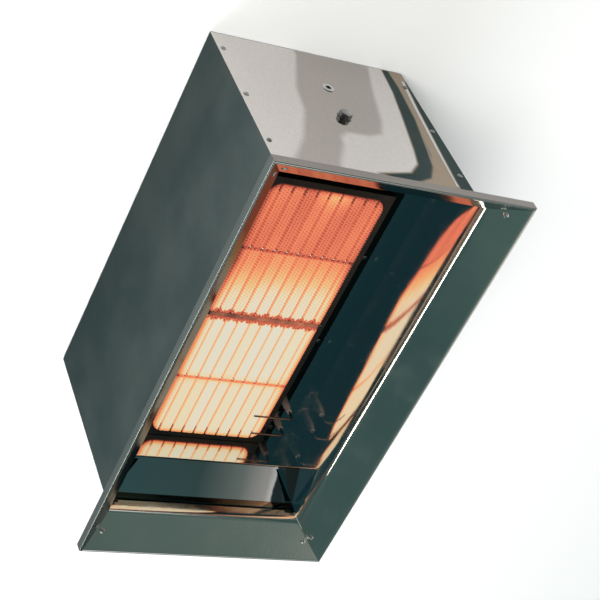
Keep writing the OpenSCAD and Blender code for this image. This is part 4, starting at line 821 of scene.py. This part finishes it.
def plaque_heat(index, x, y, rib, pit, inner, length, width):
    """Heat of plaque number index, from 0 dark to 1 cream, over its own length (0 to 1) and width (-1 to 1)."""
    u = x / length
    w = y / (width / 2)
    rng = np.random.default_rng(40 + index)
    per_rib = rng.uniform(-0.04, 0.04, 12)[np.clip(((w + 1) * RIBS / 2).astype(int), 0, RIBS - 1)]
    if index == 0:
        spot = np.exp(-(((u - 0.06) / 0.16) ** 2) - ((w - 0.12) / 0.30) ** 2)
        base = 0.43 + 0.22 * spot + 0.03 * np.sin(7 * w + 4 * u)
    elif index == 1:
        base = 0.50 + 0.42 * smooth_step((u + 0.10 * w + 0.02) / 0.85) + 0.05 * (1 - w * w)
    elif index == 2:
        base = 0.97 - 0.10 * smooth_step((u - 0.85) / 0.15)
    else:
        base = 0.95 - 0.10 * smooth_step((0.12 - u) / 0.12) - 0.14 * smooth_step((u - 0.80) / 0.20)
    side = smooth_step((np.abs(w) - 0.80) / 0.15)
    base = base + per_rib - side * (0.24 if index > 0 else 0.04)
    border = smooth_step(inner / 0.006)
    heat = base * (0.66 + 0.34 * border)
    if index == 0:
        notch = smooth_step((0.017 - x) / 0.004)
    elif index == 3:
        notch = smooth_step((0.016 - (length - x)) / 0.003)
    else:
        notch = 0 * x
    groove = (0.31, 0.42, 0.55, 0.53)[index]
    heat = heat * rib + (1 - rib) * np.minimum(groove, heat) * (1 - 0.97 * notch)
    far = 1 + 0 * x
    joint_gap = np.minimum(x if index in (1, 3) else far, length - x if index in (0, 2) else far)
    joint = smooth_step((0.0022 - joint_gap) / 0.0012)
    heat = heat * (1 - (0.35 + 0.45 * (1 - rib)) * joint)
    middle = length - x if index == 1 else x if index == 2 else far
    ragged = 0.0042 + 0.0016 * np.sin(410 * y + 2) + 0.0011 * np.sin(1130 * y) + 0.0006 * np.sin(2900 * y + 1)
    scorched = smooth_step((ragged - middle) / 0.0016 + 0.5)
    heat = heat * (1 - scorched) + scorched * (0.30 + 0.16 * np.sin(1700 * y) * np.sin(1500 * x + 3))
    depth = (0.24, 0.28, 0.09, 0.11)[index]
    return heat - pit * (depth + 0.12 * side) * (1 - scorched)


def plaque(index, looks):
    """A plaque as a height field h(x, y) = ribs x window - burner holes, closed by its sides and back."""
    low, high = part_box(f"plaque_{index + 1}")
    window_low, window_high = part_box("plaque_1")[0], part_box("plaque_4")[1]
    mid_x = (window_low[0] + window_high[0]) / 2
    half_x = (window_high[0] - window_low[0]) / 2 - 0.0042
    length, width = high[0] - low[0], high[1] - low[1]
    half_y = width / 2 - 0.0042
    nx, ny = int(length / looks.grid) + 1, int(width / looks.grid) + 1
    x = np.linspace(0, length, nx)[:, None] + np.zeros((1, ny))
    y = np.linspace(-width / 2, width / 2, ny)[None, :] + np.zeros((nx, 1))
    pitch = width / RIBS
    across = np.abs((y + width / 2) % pitch - pitch / 2)
    rib = smooth_step(((pitch - looks.groove) / 2 - across) / 0.0006 + 0.5)
    inner = inside_rounded(low[0] + x - mid_x, y, half_x, half_y, 0.014)
    window = smooth_step(inner / 0.0008)
    p = looks.hole_pitch
    rows = np.round((y + width / 2) / p - 0.5)
    hx = (x + (rows % 2) * p / 2) % p - p / 2
    hy = (y + width / 2) - (rows + 0.5) * p
    hole = smooth_step((looks.hole_radius - np.hypot(hx, hy)) / 0.0005 + 0.5) * smooth_step(inner / 0.002)
    top = high[2] - looks.rib_height
    z = top + looks.rib_height * rib * window - 0.0012 * hole * rib
    heat = plaque_heat(index, x, y, rib * window, hole, inner, length, width)
    surface = np.stack([low[0] + x, y, np.minimum(z, high[2])], axis=-1)
    ring_i = np.concatenate([np.arange(nx), np.full(ny - 1, nx - 1), np.arange(nx - 2, -1, -1), np.zeros(ny - 2, int)])
    ring_j = np.concatenate([np.zeros(nx, int), np.arange(1, ny), np.full(nx - 1, ny - 1), np.arange(ny - 2, 0, -1)])
    rim = surface[ring_i, ring_j].copy()
    rim[:, 2] = low[2]
    points = np.vstack([surface.reshape(-1, 3), rim])
    edge = ring_i * ny + ring_j
    base = nx * ny + np.arange(len(rim))
    nxt = np.roll(np.arange(len(rim)), -1)
    skirt = np.stack([edge, base, base[nxt], edge[nxt]], axis=1)
    top_quads = grid_quads(nx, ny)
    obj = put_mesh(f"plaque_face_{index + 1}", points, np.vstack([top_quads[:, ::-1], skirt[:, ::-1]]), angle=60)
    close_back(obj, base[::-1])
    add_value(obj, "warmth", np.concatenate([heat.ravel(), np.full(len(rim), 0.05)]))
    dress(obj, "glowing_plaque")
    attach(obj, BODY)
    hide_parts(f"plaque_{index + 1}")
    return obj


def close_back(obj, ring):
    """Closes the back of a height field with one face over its base ring, and points all faces outwards."""
    bm = bmesh.new()
    bm.from_mesh(obj.data)
    bm.verts.ensure_lookup_table()
    bm.faces.new([bm.verts[int(i)] for i in ring])
    bmesh.ops.recalc_face_normals(bm, faces=bm.faces)
    bm.to_mesh(obj.data)
    bm.free()


def fibre_seam():
    """The middle seam as a bead: z rises with the crown, plus a rough sum of sines along and across."""
    low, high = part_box("centre_seam")
    half = (high[0] - low[0]) / 2
    mid = (high[0] + low[0]) / 2
    a = np.linspace(0, math.pi, 22)[None, :]
    y = np.linspace(low[1], high[1], 260)[:, None]
    rng = np.random.default_rng(7)
    rough = sum(
        rng.uniform(0.4, 1.0) * np.sin(y * rng.uniform(300, 2600) + 5 * k + a * rng.integers(1, 6)) for k in range(14)
    )
    rough = 0.00035 * rough / 3.2
    crown = high[2] - 0.0016
    x = mid + (half - 0.0004) * np.cos(a) + rough * np.cos(a) * 0.5 + 0 * y
    z = crown + 0.0011 * np.sin(a) + rough * np.sin(a)
    x, z = np.clip(x, low[0], high[0]), np.clip(z, low[2], high[2])
    foot = low[2]
    left = np.stack([x[:, -1], y[:, 0], np.full(len(y), foot)], axis=-1)
    right = np.stack([x[:, 0], y[:, 0], np.full(len(y), foot)], axis=-1)
    arch = np.stack([x, np.broadcast_to(y, x.shape), z], axis=-1)
    loops = np.concatenate([right[:, None], arch, left[:, None]], axis=1)
    n = loops.shape[1]
    quads = grid_quads(len(y), n, wrap=True)
    ends = [list(range(n)), [i + (len(y) - 1) * n for i in range(n)][::-1]]
    obj = put_mesh("seam_bead", loops.reshape(-1, 3), quads, extra=ends, angle=70)
    obj_fix(obj)
    dress(obj, "seam_fibre")
    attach(obj, BODY)
    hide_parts("centre_seam")
    return obj


class HEATER_OT_burner(bpy.types.Operator):
    """Builds the four glowing plaques and the fibre seam between them."""

    bl_idname = "heater.burner"
    bl_label = "Build Burner Face"

    def execute(self, context):
        for index in range(4):
            plaque(index, context.scene.heater_burner)
        fibre_seam()
        return {"FINISHED"}


# ---------------------------------------------------------------- carried-over pieces

CARRIED = {
    "darker_zinc": "end_rivets pivot_bolts toothed_washers",
    "bright_zinc": "corner_rivets pivot_nuts locking_inserts cover_screws "
    "tube_screws coil_nut armature_tube valve_plunger valve_spring",
    "dull_zinc": "tray_screws plenum_screws frame_screws electrode_bracket",
    "zinc_sheet": "corner_gussets pivot_doublers back_cover tray_rails baffle cross_bar mixing_tube "
    "injector_bracket component_plate valve_bracket",
    "tray_steel": "burner_tray",
    "mirror_steel": "end_reflector",
    "tinted_steel": "plenum retaining_frame",
    "white_fibre": "gasket",
    "turned_brass": "injector gas_pipe inlet_union inlet_locknut",
    "cast_alloy": "valve_body",
    "black_moulding": "valve_coil coil_plug cable_gland gland_locknut",
    "black_rubber": "valve_seal tube_gasket",
    "grey_moulding": "control_box control_box_lid",
    "glazed_ceramic": "spark_insulator sense_insulator",
    "hot_wire": "spark_rod sense_rod",
    "silicone_lead": "ignition_leads",
}


class HEATER_OT_fittings(bpy.types.Operator):
    """Gives every CAD piece that stays in view its finish."""

    bl_idname = "heater.fittings"
    bl_label = "Finish Carried Pieces"

    def execute(self, context):
        done = set()
        for finish, names in CARRIED.items():
            for name in names.split():
                dress(frame["nodes"][name], finish)
                done.add(name)
        left = [n for n, o in frame["nodes"].items() if n not in done and not o.hide_render]
        if left:
            raise RuntimeError(f"no finish for {left}")
        return {"FINISHED"}


# ---------------------------------------------------------------- stage


def area_light(name, place, aim, size, power, colour):
    """A soft rectangular light at place that points at aim."""
    data = bpy.data.lights.new(name, "AREA")
    data.shape, data.size, data.size_y = "RECTANGLE", size[0], size[1]
    data.energy, data.color = power, colour
    obj = bpy.data.objects.new(name, data)
    back = np.array(place, float) - np.array(aim, float)
    back /= np.linalg.norm(back)
    side = np.cross([0.0, 0.0, 1.0], back)
    side /= np.linalg.norm(side)
    up = np.cross(back, side)
    rows = np.column_stack([side, up, back, np.array(place, float)])
    obj.matrix_world = Matrix([*rows.tolist(), [0, 0, 0, 1]])
    bpy.context.scene.collection.objects.link(obj)
    return obj


class HEATER_OT_stage(bpy.types.Operator):
    """Sets the pale floor, the soft lights, the world and the camera."""

    bl_idname = "heater.stage"
    bl_label = "Set Stage"

    def execute(self, context):
        looks = context.scene.heater_stage
        n = looks.floor_cells
        u = np.linspace(-FLOOR_HALF, FLOOR_HALF, n)
        points = np.stack([*np.meshgrid(u, u, indexing="ij"), np.full((n, n), FLOOR_Z)], axis=-1).reshape(-1, 3)
        floor = put_mesh("floor", points, grid_quads(n, n)[:, ::-1])
        s = Shader("pale_floor", Roughness=0.85)
        grain = s.group(FINISH["Speckle"], Grain_Scale=300.0, Blotch_Scale=3.0)
        pale = tuple(looks.floor)
        speck = s.span(grain.outputs["Grain"], 0.3, 0.7, 0.0, 0.3)
        s.set("Base Color", s.mix(speck, pale, tuple(0.97 * c for c in pale)))
        floor.data.materials.append(s.mat)
        key = area_light("key", (-1.2, -1.6, 2.6), (0, 0, 0.1), (1.6, 1.6), looks.key, (1.0, 0.98, 0.95))
        key.visible_glossy = False
        fill = area_light("fill", (2.0, -0.7, 2.3), (0, 0, 0.1), (2.0, 1.4), looks.fill, (0.94, 0.97, 1.0))
        fill.visible_glossy = False
        area_light("streak", (1.5, -2.5, 0.60), (0.05, 0.1, 0.25), (1.5, 0.45), looks.streak, (1.0, 0.98, 0.94))
        self.sky(context)
        self.camera(context, looks)
        return {"FINISHED"}

    @staticmethod
    def sky(context):
        """World colour by height, darker near the horizon and bright overhead, with one dim window."""
        world = bpy.data.worlds.new("studio")
        context.scene.world = world
        world.use_nodes = True
        tree = world.node_tree
        tree.nodes.clear()
        out = tree.nodes.new("ShaderNodeOutputWorld")
        back = tree.nodes.new("ShaderNodeBackground")
        coords = tree.nodes.new("ShaderNodeTexCoord")
        split = tree.nodes.new("ShaderNodeSeparateXYZ")
        tree.links.new(coords.outputs["Generated"], split.inputs[0])
        room = tree.nodes.new("ShaderNodeValToRGB")
        clutter = noise_in(tree, coords.outputs["Generated"], 3.4, 3.0, 0.55)
        fill_ramp(
            room.color_ramp,
            [(0.35, (0.026, 0.052, 0.050)), (0.55, (0.060, 0.098, 0.090)), (0.70, (0.15, 0.19, 0.17))],
        )
        tree.links.new(clutter, room.inputs[0])
        light = tree.nodes.new("ShaderNodeValToRGB")
        white, black = (1, 1, 1), (0, 0, 0)
        fill_ramp(
            light.color_ramp, [(0.0, white), (0.08, (0.9, 0.9, 0.9)), (0.16, black), (0.78, black), (0.92, white)]
        )
        tree.links.new(split.outputs["Z"], light.inputs[0])
        mix = tree.nodes.new("ShaderNodeMix")
        mix.data_type = "RGBA"
        mix.inputs[7].default_value = (1.0, 1.0, 0.99, 1.0)
        tree.links.new(light.outputs[0], mix.inputs[0])
        tree.links.new(room.outputs[0], mix.inputs[6])
        window = tree.nodes.new("ShaderNodeVectorMath")
        window.operation = "DOT_PRODUCT"
        window.inputs[1].default_value = (-0.614, 0.614, 0.495)
        tree.links.new(coords.outputs["Generated"], window.inputs[0])
        pane = tree.nodes.new("ShaderNodeValToRGB")
        fill_ramp(
            pane.color_ramp,
            [(0.93, black), (0.984, (0.07, 0.085, 0.075)), (0.992, (0.13, 0.14, 0.125)), (0.998, (0.40, 0.37, 0.34))],
        )
        tree.links.new(window.outputs["Value"], pane.inputs[0])
        both = tree.nodes.new("ShaderNodeMix")
        both.data_type, both.blend_type = "RGBA", "ADD"
        both.inputs[0].default_value = 1.0
        tree.links.new(mix.outputs[2], both.inputs[6])
        tree.links.new(pane.outputs[0], both.inputs[7])
        tree.links.new(both.outputs[2], back.inputs["Color"])
        back.inputs["Strength"].default_value = 1.0
        tree.links.new(back.outputs[0], out.inputs["Surface"])
        context.scene.view_settings.view_transform = "Standard"

    @staticmethod
    def camera(context, looks):
        """Places the camera as fitted to the photo."""
        data = bpy.data.cameras.new("camera")
        data.lens, data.sensor_width = looks.lens, SENSOR_MM
        data.clip_start, data.clip_end = 0.05, 50.0
        obj = bpy.data.objects.new("camera", data)
        rows = zip(CAMERA_RIGHT, CAMERA_DOWN, CAMERA_AHEAD, CAMERA_PLACE)
        obj.matrix_world = Matrix([[r, -d, -a, p] for r, d, a, p in rows] + [[0, 0, 0, 1]])
        context.scene.collection.objects.link(obj)
        context.scene.camera = obj


class HEATER_PT_panel(bpy.types.Panel):
    """Lists the heater's operators in the sidebar."""

    bl_idname = "HEATER_PT_panel"
    bl_label = "Gas Infrared Heater"
    bl_space_type = "VIEW_3D"
    bl_region_type = "UI"
    bl_category = "Heater"

    def draw(self, context):
        for operator in OPERATORS:
            self.layout.operator(operator.bl_idname)


OPERATORS = (HEATER_OT_finishes, HEATER_OT_stage, HEATER_OT_housing, HEATER_OT_burner, HEATER_OT_fittings)
GROUPS = {"heater_housing": HousingSizes, "heater_burner": BurnerLooks, "heater_stage": StageLooks}


def register():
    for cls in (*GROUPS.values(), *OPERATORS, HEATER_PT_panel):
        bpy.utils.register_class(cls)
    for name, cls in GROUPS.items():
        setattr(bpy.types.Scene, name, PointerProperty(type=cls))


def unregister():
    for name in GROUPS:
        delattr(bpy.types.Scene, name)
    for cls in reversed((*GROUPS.values(), *OPERATORS, HEATER_PT_panel)):
        bpy.utils.unregister_class(cls)


def main():
    """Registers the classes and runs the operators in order."""
    register()
    bpy.ops.heater.finishes()
    bpy.ops.heater.stage()
    bpy.ops.heater.housing()
    bpy.ops.heater.burner()
    bpy.ops.heater.fittings()


if __name__ == "__main__":
    main()
